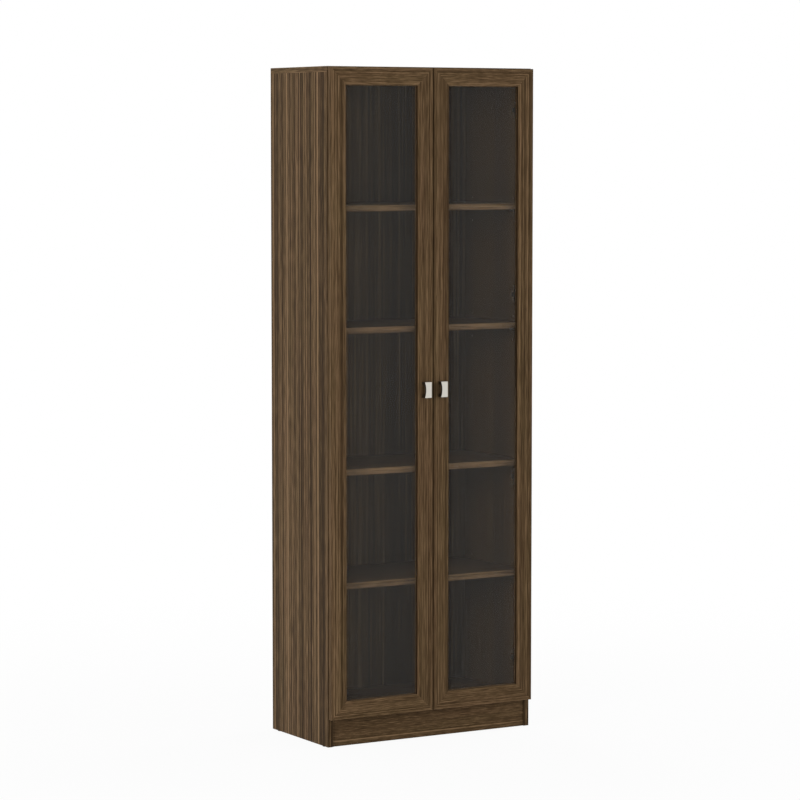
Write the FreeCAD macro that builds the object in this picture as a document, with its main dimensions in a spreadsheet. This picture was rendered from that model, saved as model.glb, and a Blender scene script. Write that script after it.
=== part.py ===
import FreeCAD, Part
import Sketcher
import math
import os
from types import SimpleNamespace

# A tall bookcase of melamine boards with two framed glass doors, in its own frame: X across, Y to the back,
# Z up, millimetres. The origin is on the floor, in the middle of the width and of the whole depth.

SIZES = {
    # case of boards
    "case_width": 630.0,
    "case_height": 1800.0,
    "case_depth": 315.0,
    "board_thick": 15.0,
    "plinth_height": 75.0,
    "plinth_setback": 4.0,
    "glide_height": 2.0,
    "glide_radius": 7.0,
    "glide_inset": 30.0,
    "back_thick": 3.0,
    "back_inset": 1.5,
    # shelves, each by the height of its upper face
    "shelf_thick": 16.0,
    "shelf_setback": 20.0,
    "shelf_clearance": 1.0,
    "shelf_back_clearance": 2.0,
    "shelf_lower_z": 434.0,
    "shelf_fixed_z": 737.5,
    "shelf_middle_z": 1113.0,
    "shelf_upper_z": 1436.0,
    "pin_radius": 2.5,
    "pin_depth": 10.0,
    "pin_reach": 8.0,
    "pin_collar_radius": 4.0,
    "pin_collar_thick": 0.7,
    "pin_row_pitch": 32.0,
    "pin_front_inset": 64.0,
    "pin_back_inset": 37.0,
    # knock-down fittings of the boards
    "fit_clearance": 0.1,
    "cam_radius": 7.5,
    "cam_depth": 12.0,
    "cam_from_end": 24.0,
    "cam_slot": 2.0,
    "bolt_radius": 3.0,
    "bolt_depth": 11.0,
    "bolt_neck_radius": 2.0,
    "bolt_head_radius": 3.2,
    "bolt_head_length": 3.0,
    "bolt_hole_radius": 3.6,
    "fitting_front_inset": 64.0,
    "fitting_back_inset": 60.0,
    "dowel_radius": 4.0,
    "dowel_short": 10.0,
    "dowel_long": 20.0,
    "dowel_from_bolt": 32.0,
    "dowel_in_plinth": 22.0,
    # nails of the back boards
    "nail_radius": 0.9,
    "nail_length": 20.0,
    "nail_head_radius": 2.2,
    "nail_head_thick": 0.8,
    "nail_pitch": 190.0,
    # doors
    "door_thick": 15.0,
    "door_gap": 1.5,
    "door_reveal": 1.5,
    "door_centre_gap": 3.0,
    "door_edge_chamfer": 1.0,
    "frame_width": 47.0,
    "groove_from_edge": 12.0,
    "groove_width": 1.6,
    "groove_depth": 0.9,
    "field_drop": 0.7,
    "ridge_from_edge": 35.4,
    "ridge_width": 2.4,
    "quirk_width": 0.8,
    "quirk_drop": 1.7,
    "lip_round": 30.0,
    "lip_drop": 2.4,
    "rebate_width": 9.0,
    "rebate_depth": 5.0,
    "glass_thick": 3.0,
    "glass_clearance": 1.0,
    "bead_overhang": 2.5,
    "bead_clearance": 0.2,
    "mitre_dowel_radius": 3.0,
    "mitre_dowel_length": 24.0,
    "mitre_dowel_inset": 20.0,
    "bumper_radius": 4.0,
    "bumper_clearance": 0.3,
    # bow handles
    "handle_height": 42.0,
    "handle_width": 21.0,
    "handle_waist": 1.9,
    "handle_end_reach": 15.0,
    "handle_reach": 18.0,
    "handle_strap": 3.6,
    "handle_grip_draft": 2.0,
    "handle_grip_height": 24.0,
    "handle_screw_pitch": 32.0,
    "handle_rise": 6.0,
    "handle_screw_radius": 2.0,
    "handle_screw_depth": 9.0,
    "screw_head_radius": 4.0,
    "screw_head_thick": 2.2,
    # concealed hinges
    "hinge_count": 4.0,
    "hinge_end_inset": 110.0,
    "cup_radius": 13.0,
    "cup_wall": 0.8,
    "cup_depth": 11.5,
    "cup_from_edge": 3.5,
    "flange_thick": 1.0,
    "flange_width": 14.0,
    "flange_height": 48.0,
    "flange_screw_pitch": 38.0,
    "cup_pivot_inset": 8.4,
    "cup_pivot_depth": 5.6,
    "cup_lug_thick": 2.4,
    "arm_pivot_inset": 9.0,
    "arm_pivot_ahead": 2.0,
    "arm_eye_radius": 2.4,
    "arm_height": 6.0,
    "arm_wall": 1.6,
    "arm_length": 56.0,
    "arm_heel": 14.0,
    "arm_mouth": 9.0,
    "link_width": 8.0,
    "link_side_gap": 0.35,
    "link_eye_radius": 2.2,
    "link_thick": 1.6,
    "link_knee_out": 6.1,
    "link_knee_in": 3.5,
    "hinge_pin_radius": 1.2,
    "hinge_pin_clearance": 0.05,
    "plate_thick": 2.5,
    "plate_front": 20.0,
    "plate_length": 34.0,
    "plate_height": 44.0,
    "plate_screw_inset": 37.0,
    "plate_screw_pitch": 32.0,
    "wood_screw_radius": 1.6,
    "wood_screw_length": 12.0,
    "wood_screw_head_radius": 3.0,
    "wood_screw_head_thick": 1.6,
    "cup_screw_length": 11.0,
    "cup_screw_head_radius": 2.6,
}

doc = FreeCAD.newDocument("glass_door_bookcase")
sheet = doc.addObject("Spreadsheet::Sheet", "Sizes")
for row, (alias, number) in enumerate(SIZES.items(), start=1):
    sheet.set("A%d" % row, alias)
    sheet.set("B%d" % row, str(number))
    sheet.setAlias("B%d" % row, alias)
doc.recompute()


class Size:
    """A length with its value now and its formula on the sheet, so that every piece follows the cells."""

    def __init__(self, value, formula):
        self.value = value
        self.formula = formula

    @staticmethod
    def of(other):
        return other if isinstance(other, Size) else Size(float(other), repr(float(other)))

    def __add__(self, other):
        other = Size.of(other)
        return Size(self.value + other.value, "(%s + %s)" % (self.formula, other.formula))

    def __sub__(self, other):
        other = Size.of(other)
        return Size(self.value - other.value, "(%s - %s)" % (self.formula, other.formula))

    def __mul__(self, other):
        other = Size.of(other)
        return Size(self.value * other.value, "(%s * %s)" % (self.formula, other.formula))

    def __truediv__(self, other):
        other = Size.of(other)
        return Size(self.value / other.value, "(%s / %s)" % (self.formula, other.formula))

    def __neg__(self):
        return Size(-self.value, "(0 - %s)" % self.formula)


cells = SimpleNamespace(**{alias: Size(sheet.get(alias), "Sizes." + alias) for alias in SIZES})
ZERO = Size(0.0, "0")

# ---------------------------------------------------------------- planes that the pieces share

left_face = -cells.case_width / 2
left_inner = left_face + cells.board_thick
right_inner = -left_inner
right_face = -left_face
whole_depth = cells.handle_reach + cells.door_thick + cells.door_gap + cells.case_depth
case_back = whole_depth / 2
case_front = case_back - cells.case_depth
boards_back = case_back - cells.back_thick
top_under = cells.case_height - cells.board_thick
bottom_over = cells.plinth_height + cells.board_thick
door_back = case_front - cells.door_gap
door_front = door_back - cells.door_thick
door_left = left_face + cells.door_reveal
door_right = -cells.door_centre_gap / 2
door_low = cells.plinth_height + cells.door_reveal
door_high = cells.case_height - cells.door_reveal

# ---------------------------------------------------------------- ways to make a solid

ALONG = {
    "x": FreeCAD.Rotation(FreeCAD.Vector(0, 1, 0), 90),
    "y": FreeCAD.Rotation(FreeCAD.Vector(1, 0, 0), -90),
    "z": FreeCAD.Rotation(),
}
nodes = []


def bind(thing, prop, size):
    thing.setExpression(prop, Size.of(size).formula)


def place(thing, x, y, z):
    bind(thing, "Placement.Base.x", x)
    bind(thing, "Placement.Base.y", y)
    bind(thing, "Placement.Base.z", z)


def box(name, x, y, z):
    """A block between two planes each way."""
    block = doc.addObject("Part::Box", name)
    bind(block, "Length", x[1] - x[0])
    bind(block, "Width", y[1] - y[0])
    bind(block, "Height", z[1] - z[0])
    place(block, x[0], y[0], z[0])
    return block


def rod(name, start, along, radius, length):
    """A round bar from its start point along one axis."""
    bar = doc.addObject("Part::Cylinder", name)
    bar.Placement = FreeCAD.Placement(FreeCAD.Vector(), ALONG[along])
    bind(bar, "Radius", radius)
    bind(bar, "Height", length)
    place(bar, *start)
    return bar


def group(name, pieces):
    """Separate solids kept as one object."""
    held = doc.addObject("Part::Compound", name)
    held.Links = pieces
    return held


def fuse(name, pieces):
    whole = doc.addObject("Part::MultiFuse", name)
    whole.Shapes = pieces
    return whole


def cut(name, base, tools):
    rest = doc.addObject("Part::Cut", name)
    rest.Base = base
    rest.Tool = group(name + "_holes", tools)
    return rest


def copies(name, master, shifts):
    """The same piece again at each shift from where it was made."""
    made = []
    for number, shift in enumerate(shifts, start=1):
        again = doc.addObject("App::Link", "%s_%d" % (name, number))
        again.LinkedObject = master
        again.LinkTransform = True
        place(again, *shift)
        made.append(again)
    return group(name, made)


def mirror(name, source):
    """The right-hand twin of a left-hand piece."""
    twin = doc.addObject("Part::Mirroring", name)
    twin.Source = source
    twin.Base = (0, 0, 0)
    twin.Normal = (1, 0, 0)
    return twin


def keep(piece):
    """Marks a finished sub-part, whose name is its node's name."""
    nodes.append(piece)
    return piece


def keep_pair(piece):
    """Keeps a left-hand piece and its right-hand twin."""
    keep(piece)
    keep(mirror(piece.Name.replace("_left", "_right"), piece))
    return piece


def plane(body, role):
    for feature in body.Origin.OriginFeatures:
        if feature.Role == role:
            return feature
    raise LookupError(role)


def outline(body, name, role, height, corners):
    """A closed outline of straight lines and arcs on one of the body's own planes.

    Each corner is (across, up), or (across, up, radius, turn) where an arc leads from it to the next one;
    turn is +1 when that arc runs anticlockwise. Every corner and radius follows its formula.
    """
    sketch = body.newObject("Sketcher::SketchObject", name)
    sketch.AttachmentSupport = [(plane(body, role), "")]
    sketch.MapMode = "FlatFace"
    bind(sketch, "AttachmentOffset.Base.z", height)
    count = len(corners)
    starts = []
    for number, corner in enumerate(corners):
        after = corners[(number + 1) % count]
        first = FreeCAD.Vector(corner[0].value, corner[1].value, 0)
        last = FreeCAD.Vector(after[0].value, after[1].value, 0)
        if len(corner) == 2:
            edge = sketch.addGeometry(Part.LineSegment(first, last), False)
            starts.append((edge, 1, 2))
            continue
        radius, turn = corner[2].value, corner[3]
        chord = last - first
        half = chord.Length / 2
        rise = math.sqrt(max(radius * radius - half * half, 0.0))
        across = FreeCAD.Vector(-chord.y, chord.x, 0).normalize()
        centre = first + chord * 0.5 + across * (rise * turn)
        bulge = centre - across * (radius * turn)
        edge = sketch.addGeometry(Part.Arc(first, bulge, last), False)
        starts.append((edge, 1, 2) if turn > 0 else (edge, 2, 1))
    for number, corner in enumerate(corners):
        edge, begin, end = starts[number]
        follower, follower_begin, _ = starts[(number + 1) % count]
        sketch.addConstraint(Sketcher.Constraint("Coincident", edge, end, follower, follower_begin))
        across = sketch.addConstraint(
            Sketcher.Constraint("DistanceX", -1, 1, edge, begin, corner[0].value))
        up = sketch.addConstraint(
            Sketcher.Constraint("DistanceY", -1, 1, edge, begin, corner[1].value))
        bind(sketch, "Constraints[%d]" % across, corner[0])
        bind(sketch, "Constraints[%d]" % up, corner[1])
        if len(corner) > 2:
            bend = sketch.addConstraint(Sketcher.Constraint("Radius", edge, corner[2].value))
            bind(sketch, "Constraints[%d]" % bend, corner[2])
    return sketch


def pad(body, sketch, length, midplane=False, backwards=False):
    feature = body.newObject("PartDesign::Pad", sketch.Name + "_pad")
    feature.Profile = sketch
    feature.Midplane = midplane
    feature.Reversed = backwards
    bind(feature, "Length", length)
    doc.recompute()
    return feature


def pocket(body, sketch, length, midplane=False, backwards=False):
    """Cuts an outline out of the body, and makes sure that it took something away."""
    before = body.Shape.Volume
    feature = body.newObject("PartDesign::Pocket", sketch.Name + "_pocket")
    feature.Profile = sketch
    feature.Midplane = midplane
    feature.Reversed = backwards
    bind(feature, "Length", length)
    doc.recompute()
    if not body.Shape.Volume < before:
        raise ValueError("nothing cut by " + sketch.Name)
    return feature


# ---------------------------------------------------------------- places of the fittings

board_middle = left_face + cells.board_thick / 2
fitting_rows = [case_front + cells.fitting_front_inset, boards_back - cells.fitting_back_inset]
dowel_rows = [fitting_rows[0] + cells.dowel_from_bolt, fitting_rows[1] - cells.dowel_from_bolt]
pin_columns = [case_front + cells.pin_front_inset, boards_back - cells.pin_back_inset]
plinth_front = case_front + cells.plinth_setback
plinth_middle = plinth_front + cells.board_thick / 2
plinth_dowel_heights = [
    cells.glide_height + cells.dowel_in_plinth,
    cells.plinth_height - cells.dowel_in_plinth,
]
glide_rows = [case_front + cells.glide_inset, boards_back - cells.glide_inset]
# the boards that meet the sides end-on: where each lies, by its middle height
bottom_middle = cells.plinth_height + cells.board_thick / 2
fixed_middle = cells.shelf_fixed_z - cells.shelf_thick / 2
loose_shelves = {
    "shelf_lower": cells.shelf_lower_z,
    "shelf_middle": cells.shelf_middle_z,
    "shelf_upper": cells.shelf_upper_z,
}
hinge_first = door_low + cells.hinge_end_inset
hinge_count = int(cells.hinge_count.value)
hinge_step = (door_high - cells.hinge_end_inset - hinge_first) / (cells.hinge_count - 1)
hinge_heights = [hinge_first + hinge_step * number for number in range(hinge_count)]
plate_screw_row = case_front + cells.plate_screw_inset


def spaced(first, last, pitch):
    """Places from first to last, no further apart than the pitch."""
    spans = max(1, math.ceil((last.value - first.value) / pitch.value))
    return [first + (last - first) * (number / spans) for number in range(spans + 1)]


nail_edge = cells.board_thick / 2
back_low = cells.plinth_height + cells.back_inset
back_high = cells.case_height - cells.back_inset
back_left = left_face + cells.back_inset
nail_heights = spaced(bottom_middle + cells.nail_pitch / 2, top_under - cells.nail_pitch / 2, cells.nail_pitch)
nail_columns = spaced(board_middle + cells.nail_pitch / 2, -board_middle - cells.nail_pitch / 2, cells.nail_pitch)
seam = fixed_middle
seam_nails = [seam - cells.shelf_thick / 4, seam + cells.shelf_thick / 4]
nail_places = [(x, z) for x in (board_middle, -board_middle) for z in nail_heights]
nail_places += [(x, z) for x in nail_columns for z in (bottom_middle, top_under + nail_edge, *seam_nails)]


def nail_hole(name, x, z):
    """The bore that a nail leaves in a board's rear edge."""
    return rod(name, (x, boards_back - cells.nail_length, z), "y",
               cells.nail_radius + cells.fit_clearance, cells.nail_length)


# ---------------------------------------------------------------- side panels

def side_panel():
    """A full-height board, with the holes of every fitting that it takes."""
    board = box("side_board", (left_face, left_inner), (case_front, boards_back),
                (cells.glide_height, top_under))
    loose = cells.fit_clearance
    holes = []
    for label, height in loose_shelves.items():
        for column, y in enumerate(pin_columns):
            for step in (-1, 0, 1):
                z = height - cells.shelf_thick - cells.pin_radius + cells.pin_row_pitch * step
                holes.append(rod("%s_hole_%d_%d" % (label, column, step + 1),
                                 (left_inner - cells.pin_depth, y, z), "x",
                                 cells.pin_radius + loose, cells.pin_depth))
    for number, y in enumerate(fitting_rows):
        z = top_under - cells.cam_from_end
        holes.append(rod("side_cam_hole_%d" % number, (left_inner - cells.cam_depth, y, z), "x",
                         cells.cam_radius + loose, cells.cam_depth))
        holes.append(rod("side_bolt_way_%d" % number, (board_middle, y, z), "z",
                         cells.bolt_hole_radius, cells.cam_from_end))
        for label, middle in (("bottom", bottom_middle), ("fixed", fixed_middle)):
            holes.append(rod("side_%s_bolt_%d" % (label, number),
                             (left_inner - cells.bolt_depth, y, middle), "x",
                             cells.bolt_radius + loose, cells.bolt_depth))
    for number, y in enumerate(dowel_rows):
        holes.append(rod("side_top_dowel_%d" % number,
                         (board_middle, y, top_under - cells.dowel_long), "z",
                         cells.dowel_radius + loose, cells.dowel_long))
        for label, middle in (("bottom", bottom_middle), ("fixed", fixed_middle)):
            holes.append(rod("side_%s_dowel_%d" % (label, number),
                             (left_inner - cells.dowel_short, y, middle), "x",
                             cells.dowel_radius + loose, cells.dowel_short))
    for number, z in enumerate(plinth_dowel_heights):
        holes.append(rod("side_plinth_dowel_%d" % number,
                         (left_inner - cells.dowel_short, plinth_middle, z), "x",
                         cells.dowel_radius + loose, cells.dowel_short))
    for number, height in enumerate(hinge_heights):
        for side in (-1, 1):
            z = height + cells.plate_screw_pitch * (side / 2)
            depth = cells.wood_screw_length - cells.plate_thick
            holes.append(rod("side_plate_screw_%d_%d" % (number, side + 1),
                             (left_inner - depth, plate_screw_row, z), "x",
                             cells.wood_screw_radius + loose, depth))
    for number, y in enumerate(glide_rows):
        holes.append(rod("side_glide_hole_%d" % number, (board_middle, y, cells.glide_height), "z",
                         cells.nail_radius + loose, cells.nail_length))
    for number, z in enumerate(nail_heights):
        holes.append(nail_hole("side_nail_hole_%d" % number, board_middle, z))
    keep_pair(cut("side_panel_left", board, holes))


side_panel()

# ---------------------------------------------------------------- top panel


def top_panel():
    """The board that lies over both side panels, drilled from below."""
    board = box("top_board", (left_face, right_face), (case_front, boards_back), (top_under, cells.case_height))
    loose = cells.fit_clearance
    holes = []
    for end, x in enumerate((board_middle, -board_middle)):
        for number, y in enumerate(fitting_rows):
            holes.append(rod("top_bolt_%d_%d" % (end, number), (x, y, top_under), "z",
                             cells.bolt_radius + loose, cells.bolt_depth))
        for number, y in enumerate(dowel_rows):
            holes.append(rod("top_dowel_%d_%d" % (end, number), (x, y, top_under), "z",
                             cells.dowel_radius + loose, cells.dowel_short))
    for number, x in enumerate(nail_columns):
        holes.append(nail_hole("top_nail_hole_%d" % number, x, top_under + nail_edge))
    keep(cut("top_panel", board, holes))


top_panel()

# ---------------------------------------------------------------- bottom panel and fixed shelf


def cammed_board(name, y_front, under, over, nail_levels):
    """A board held between the sides by cams let into its underside, with dowels beside them."""
    board = box(name + "_board", (left_inner, right_inner), (y_front, boards_back), (under, over))
    middle = (under + over) / 2
    loose = cells.fit_clearance
    holes = []
    for number, y in enumerate(fitting_rows):
        for end, x in enumerate((left_inner + cells.cam_from_end, right_inner - cells.cam_from_end)):
            holes.append(rod("%s_cam_%d_%d" % (name, end, number), (x, y, under), "z",
                             cells.cam_radius + loose, cells.cam_depth))
        for end, x in enumerate((left_inner, right_inner - cells.cam_from_end)):
            holes.append(rod("%s_bolt_way_%d_%d" % (name, end, number), (x, y, middle), "x",
                             cells.bolt_hole_radius, cells.cam_from_end))
    for number, y in enumerate(dowel_rows):
        for end, x in enumerate((left_inner, right_inner - cells.dowel_long)):
            holes.append(rod("%s_dowel_%d_%d" % (name, end, number), (x, y, middle), "x",
                             cells.dowel_radius + loose, cells.dowel_long))
    for level, z in enumerate(nail_levels):
        for number, x in enumerate(nail_columns):
            holes.append(nail_hole("%s_nail_%d_%d" % (name, level, number), x, z))
    keep(cut(name, board, holes))


cammed_board("bottom_panel", case_front, cells.plinth_height, bottom_over, [bottom_middle])
cammed_board("shelf_fixed", case_front + cells.shelf_setback,
             cells.shelf_fixed_z - cells.shelf_thick, cells.shelf_fixed_z, seam_nails)

# ---------------------------------------------------------------- plinth


def plinth():
    """The upright board under the bottom panel, dowelled between the sides."""
    board = box("plinth_piece", (left_inner, right_inner), (plinth_front, plinth_front + cells.board_thick),
                (cells.glide_height, cells.plinth_height))
    holes = []
    for number, z in enumerate(plinth_dowel_heights):
        for end, x in enumerate((left_inner, right_inner - cells.dowel_long)):
            holes.append(rod("plinth_dowel_%d_%d" % (end, number), (x, plinth_middle, z), "x",
                             cells.dowel_radius + cells.fit_clearance, cells.dowel_long))
    keep(cut("plinth_board", board, holes))


plinth()

# ---------------------------------------------------------------- loose shelves and their pins

for label, height in loose_shelves.items():
    keep(box(label, (left_inner + cells.shelf_clearance, right_inner - cells.shelf_clearance),
             (case_front + cells.shelf_setback, boards_back - cells.shelf_back_clearance),
             (height - cells.shelf_thick, height)))


def shelf_pins():
    """Twelve steel pins, four under each loose shelf, with a collar against the side panel."""
    pins = []
    for label, height in loose_shelves.items():
        z = height - cells.shelf_thick - cells.pin_radius
        for column, y in enumerate(pin_columns):
            stem = rod("%s_stem_%d" % (label, column), (left_inner - cells.pin_depth, y, z), "x",
                       cells.pin_radius, cells.pin_depth + cells.pin_reach)
            collar = rod("%s_collar_%d" % (label, column), (left_inner, y, z), "x",
                         cells.pin_collar_radius, cells.pin_collar_thick)
            pin = fuse("%s_pin_left_%d" % (label, column), [stem, collar])
            pins += [pin, mirror("%s_pin_right_%d" % (label, column), pin)]
    keep(group("shelf_pins", pins))


shelf_pins()

# ---------------------------------------------------------------- back boards and their nails


def back_boards():
    """Two thin boards that meet on the fixed shelf, and the nails whose flat heads are sunk flush in them."""
    nails = []
    for number, (x, z) in enumerate(nail_places):
        shank = rod("nail_shank_%d" % number, (x, boards_back - cells.nail_length, z), "y",
                    cells.nail_radius, cells.nail_length + cells.back_thick)
        head = rod("nail_head_%d" % number, (x, case_back - cells.nail_head_thick, z), "y",
                   cells.nail_head_radius, cells.nail_head_thick)
        nails.append(fuse("back_nail_%d" % number, [shank, head]))
    for name, low, high in (("back_panel_lower", back_low, seam), ("back_panel_upper", seam, back_high)):
        board = box(name + "_sheet", (back_left, -back_left), (boards_back, case_back), (low, high))
        keep(cut(name, board, nails))
    keep(group("back_nails", nails))


back_boards()

# ---------------------------------------------------------------- cams, bolts and dowels of the case


def cam(name, start, along, bore_start, bore_along, slots):
    """A round cam with a bore for the bolt's head and a cross in its face."""
    disc = rod(name + "_disc", start, along, cells.cam_radius, cells.cam_depth)
    bore = rod(name + "_bore", bore_start, bore_along, cells.bolt_hole_radius, cells.cam_radius * 2)
    return cut(name, disc, [bore, *slots])


def cross(name, along, face, first, second):
    """Two crossed slots in a cam's face, given the face's depth range and its centre on the other axes."""
    wide, long = cells.cam_slot / 2, cells.cam_radius * 0.6
    slots = []
    for number, (one, two) in enumerate(((wide, long), (long, wide))):
        spans = [(first - one, first + one), (second - two, second + two)]
        spans.insert(0 if along == "x" else 2, face)
        slots.append(box("%s_slot_%d" % (name, number), *spans))
    return slots


def board_fittings():
    """Cams in the boards, bolts screwed into the faces that they pull up to, and dowels beside them."""
    cams = []
    bolts = []
    dowels = []

    def both(piece, kept):
        kept.append(piece)
        kept.append(mirror(piece.Name + "_right", piece))

    cam_z = top_under - cells.cam_from_end
    for number, y in enumerate(fitting_rows):
        name = "top_cam_%d" % number
        face = (left_inner - cells.cam_slot, left_inner)
        both(cam(name, (left_inner - cells.cam_depth, y, cam_z), "x",
                 (board_middle, y, cam_z - cells.bolt_head_length / 2), "z",
                 cross(name, "x", face, y, cam_z)), cams)
        thread = rod("top_thread_%d" % number, (board_middle, y, top_under), "z",
                     cells.bolt_radius, cells.bolt_depth)
        neck = rod("top_neck_%d" % number, (board_middle, y, cam_z), "z",
                   cells.bolt_neck_radius, cells.cam_from_end)
        head = rod("top_head_%d" % number, (board_middle, y, cam_z), "z",
                   cells.bolt_head_radius, cells.bolt_head_length)
        both(fuse("top_bolt_%d" % number, [thread, neck, head]), bolts)
    for number, y in enumerate(dowel_rows):
        both(rod("top_pin_%d" % number, (board_middle, y, top_under - cells.dowel_long), "z",
                 cells.dowel_radius, cells.dowel_long + cells.dowel_short), dowels)
    levels = (("bottom", cells.plinth_height, bottom_middle),
              ("fixed", cells.shelf_fixed_z - cells.shelf_thick, fixed_middle))
    cam_x = left_inner + cells.cam_from_end
    for label, under, middle in levels:
        for number, y in enumerate(fitting_rows):
            name = "%s_lock_%d" % (label, number)
            face = (under, under + cells.cam_slot)
            both(cam(name, (cam_x, y, under), "z",
                     (cam_x - cells.cam_radius * 2 + cells.bolt_head_length / 2, y, middle), "x",
                     cross(name, "z", face, cam_x, y)), cams)
            thread = rod("%s_thread_%d" % (label, number), (left_inner - cells.bolt_depth, y, middle), "x",
                         cells.bolt_radius, cells.bolt_depth)
            neck = rod("%s_neck_%d" % (label, number), (left_inner, y, middle), "x",
                       cells.bolt_neck_radius, cells.cam_from_end)
            head = rod("%s_head_%d" % (label, number), (cam_x - cells.bolt_head_length, y, middle), "x",
                       cells.bolt_head_radius, cells.bolt_head_length)
            both(fuse("%s_bolt_%d" % (label, number), [thread, neck, head]), bolts)
        for number, y in enumerate(dowel_rows):
            both(rod("%s_peg_%d" % (label, number), (left_inner - cells.dowel_short, y, middle), "x",
                     cells.dowel_radius, cells.dowel_long + cells.dowel_short), dowels)
    for number, z in enumerate(plinth_dowel_heights):
        both(rod("plinth_peg_%d" % number, (left_inner - cells.dowel_short, plinth_middle, z), "x",
                 cells.dowel_radius, cells.dowel_long + cells.dowel_short), dowels)
    keep(group("cam_locks", cams))
    keep(group("cam_bolts", bolts))
    keep(group("board_dowels", dowels))


board_fittings()


def floor_glides():
    """Nail-on plastic glides, two under each side panel."""
    glides = []
    for number, y in enumerate(glide_rows):
        disc = rod("glide_disc_%d" % number, (board_middle, y, ZERO), "z", cells.glide_radius, cells.glide_height)
        shank = rod("glide_nail_%d" % number, (board_middle, y, ZERO), "z",
                    cells.nail_radius, cells.nail_length + cells.glide_height)
        glide = fuse("glide_%d" % number, [disc, shank])
        glides += [glide, mirror("glide_right_%d" % number, glide)]
    keep(group("floor_glides", glides))


floor_glides()

# ---------------------------------------------------------------- door frames

glass_inset = cells.frame_width - cells.rebate_width
handle_x = door_right - cells.frame_width / 2
handle_z = (door_low + door_high) / 2 + cells.handle_rise
handle_screw_heights = [handle_z - cells.handle_screw_pitch / 2, handle_z + cells.handle_screw_pitch / 2]
mitre_middle = door_back - cells.door_thick / 2
door_corners = {
    "low_hinge": (door_left, door_low, 1, 1),
    "low_handle": (door_right, door_low, -1, 1),
    "high_hinge": (door_left, door_high, 1, -1),
    "high_handle": (door_right, door_high, -1, -1),
}
cup_x = door_left + cells.cup_from_edge + cells.cup_radius
pivot_x = door_left + cells.cup_pivot_inset
pivot_y = door_back - cells.cup_pivot_depth


def moulding(edge, inward, upright):
    """The section of a door frame's member, from its outer edge to the lip that covers the glass."""
    front = cells.door_thick
    bevel = cells.door_edge_chamfer
    half_groove = cells.groove_width / 2
    field = front - cells.field_drop
    ridge_end = cells.ridge_from_edge + cells.ridge_width
    steps = [
        (bevel, ZERO),
        (ZERO, bevel),
        (ZERO, front - bevel),
        (bevel, front),
        (cells.groove_from_edge - half_groove, front),
        (cells.groove_from_edge, front - cells.groove_depth - cells.field_drop),
        (cells.groove_from_edge + half_groove, field),
        (cells.ridge_from_edge, field, cells.ridge_width * 0.6),
        (ridge_end, field),
        (ridge_end + cells.quirk_width, front - cells.quirk_drop, cells.lip_round),
        (cells.frame_width, front - cells.lip_drop),
        (cells.frame_width, cells.rebate_depth),
        (glass_inset, cells.rebate_depth),
        (glass_inset, ZERO),
    ]
    corners = []
    for across, up, *bend in steps:
        across = edge + across * inward
        up = door_back - up
        place_on = (across, up) if upright else (up, across)
        turn = inward if upright else -inward
        corners.append((*place_on, *bend, turn) if bend else place_on)
    return corners


def mitre_corners(corner, upright):
    """The triangle past the 45 degree joint that a member loses at one corner of the door."""
    x, z, to_right, to_top = door_corners[corner]
    spare = 1.0
    long = cells.frame_width + spare
    outer = (x - Size.of(to_right * spare), z - Size.of(to_top * spare))
    inner = (x + long * to_right, z + long * to_top)
    third = (inner[0], outer[1]) if upright else (outer[0], inner[1])
    return [outer, third, inner]


def frame_member(name, edge, inward, upright, low, high, corners):
    """A stile or rail: its moulding run between two planes, mitred at both ends."""
    body = doc.addObject("PartDesign::Body", name + "_moulding")
    section = outline(body, name + "_section", "XY_Plane" if upright else "YZ_Plane", low,
                      moulding(edge, inward, upright))
    pad(body, section, high - low)
    for corner in corners:
        triangle = outline(body, "%s_%s" % (name, corner), "XZ_Plane", -mitre_middle,
                           mitre_corners(corner, upright))
        pocket(body, triangle, cells.door_thick + 2, midplane=True)
    return body


def mitre_dowel(name, corner, radius):
    """A dowel square to one mitre, in the middle of the frame's thickness."""
    x, z, to_right, to_top = door_corners[corner]
    reach = cells.mitre_dowel_length * (0.5 * math.sqrt(0.5))
    bar = rod(name, (x + cells.mitre_dowel_inset * to_right - reach * to_right, mitre_middle,
                     z + cells.mitre_dowel_inset * to_top + reach * to_top), "z",
              radius, cells.mitre_dowel_length)
    turn = math.degrees(math.atan2(to_right, -to_top))
    bar.Placement.Rotation = FreeCAD.Rotation(FreeCAD.Vector(0, 1, 0), turn)
    return bar


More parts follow.
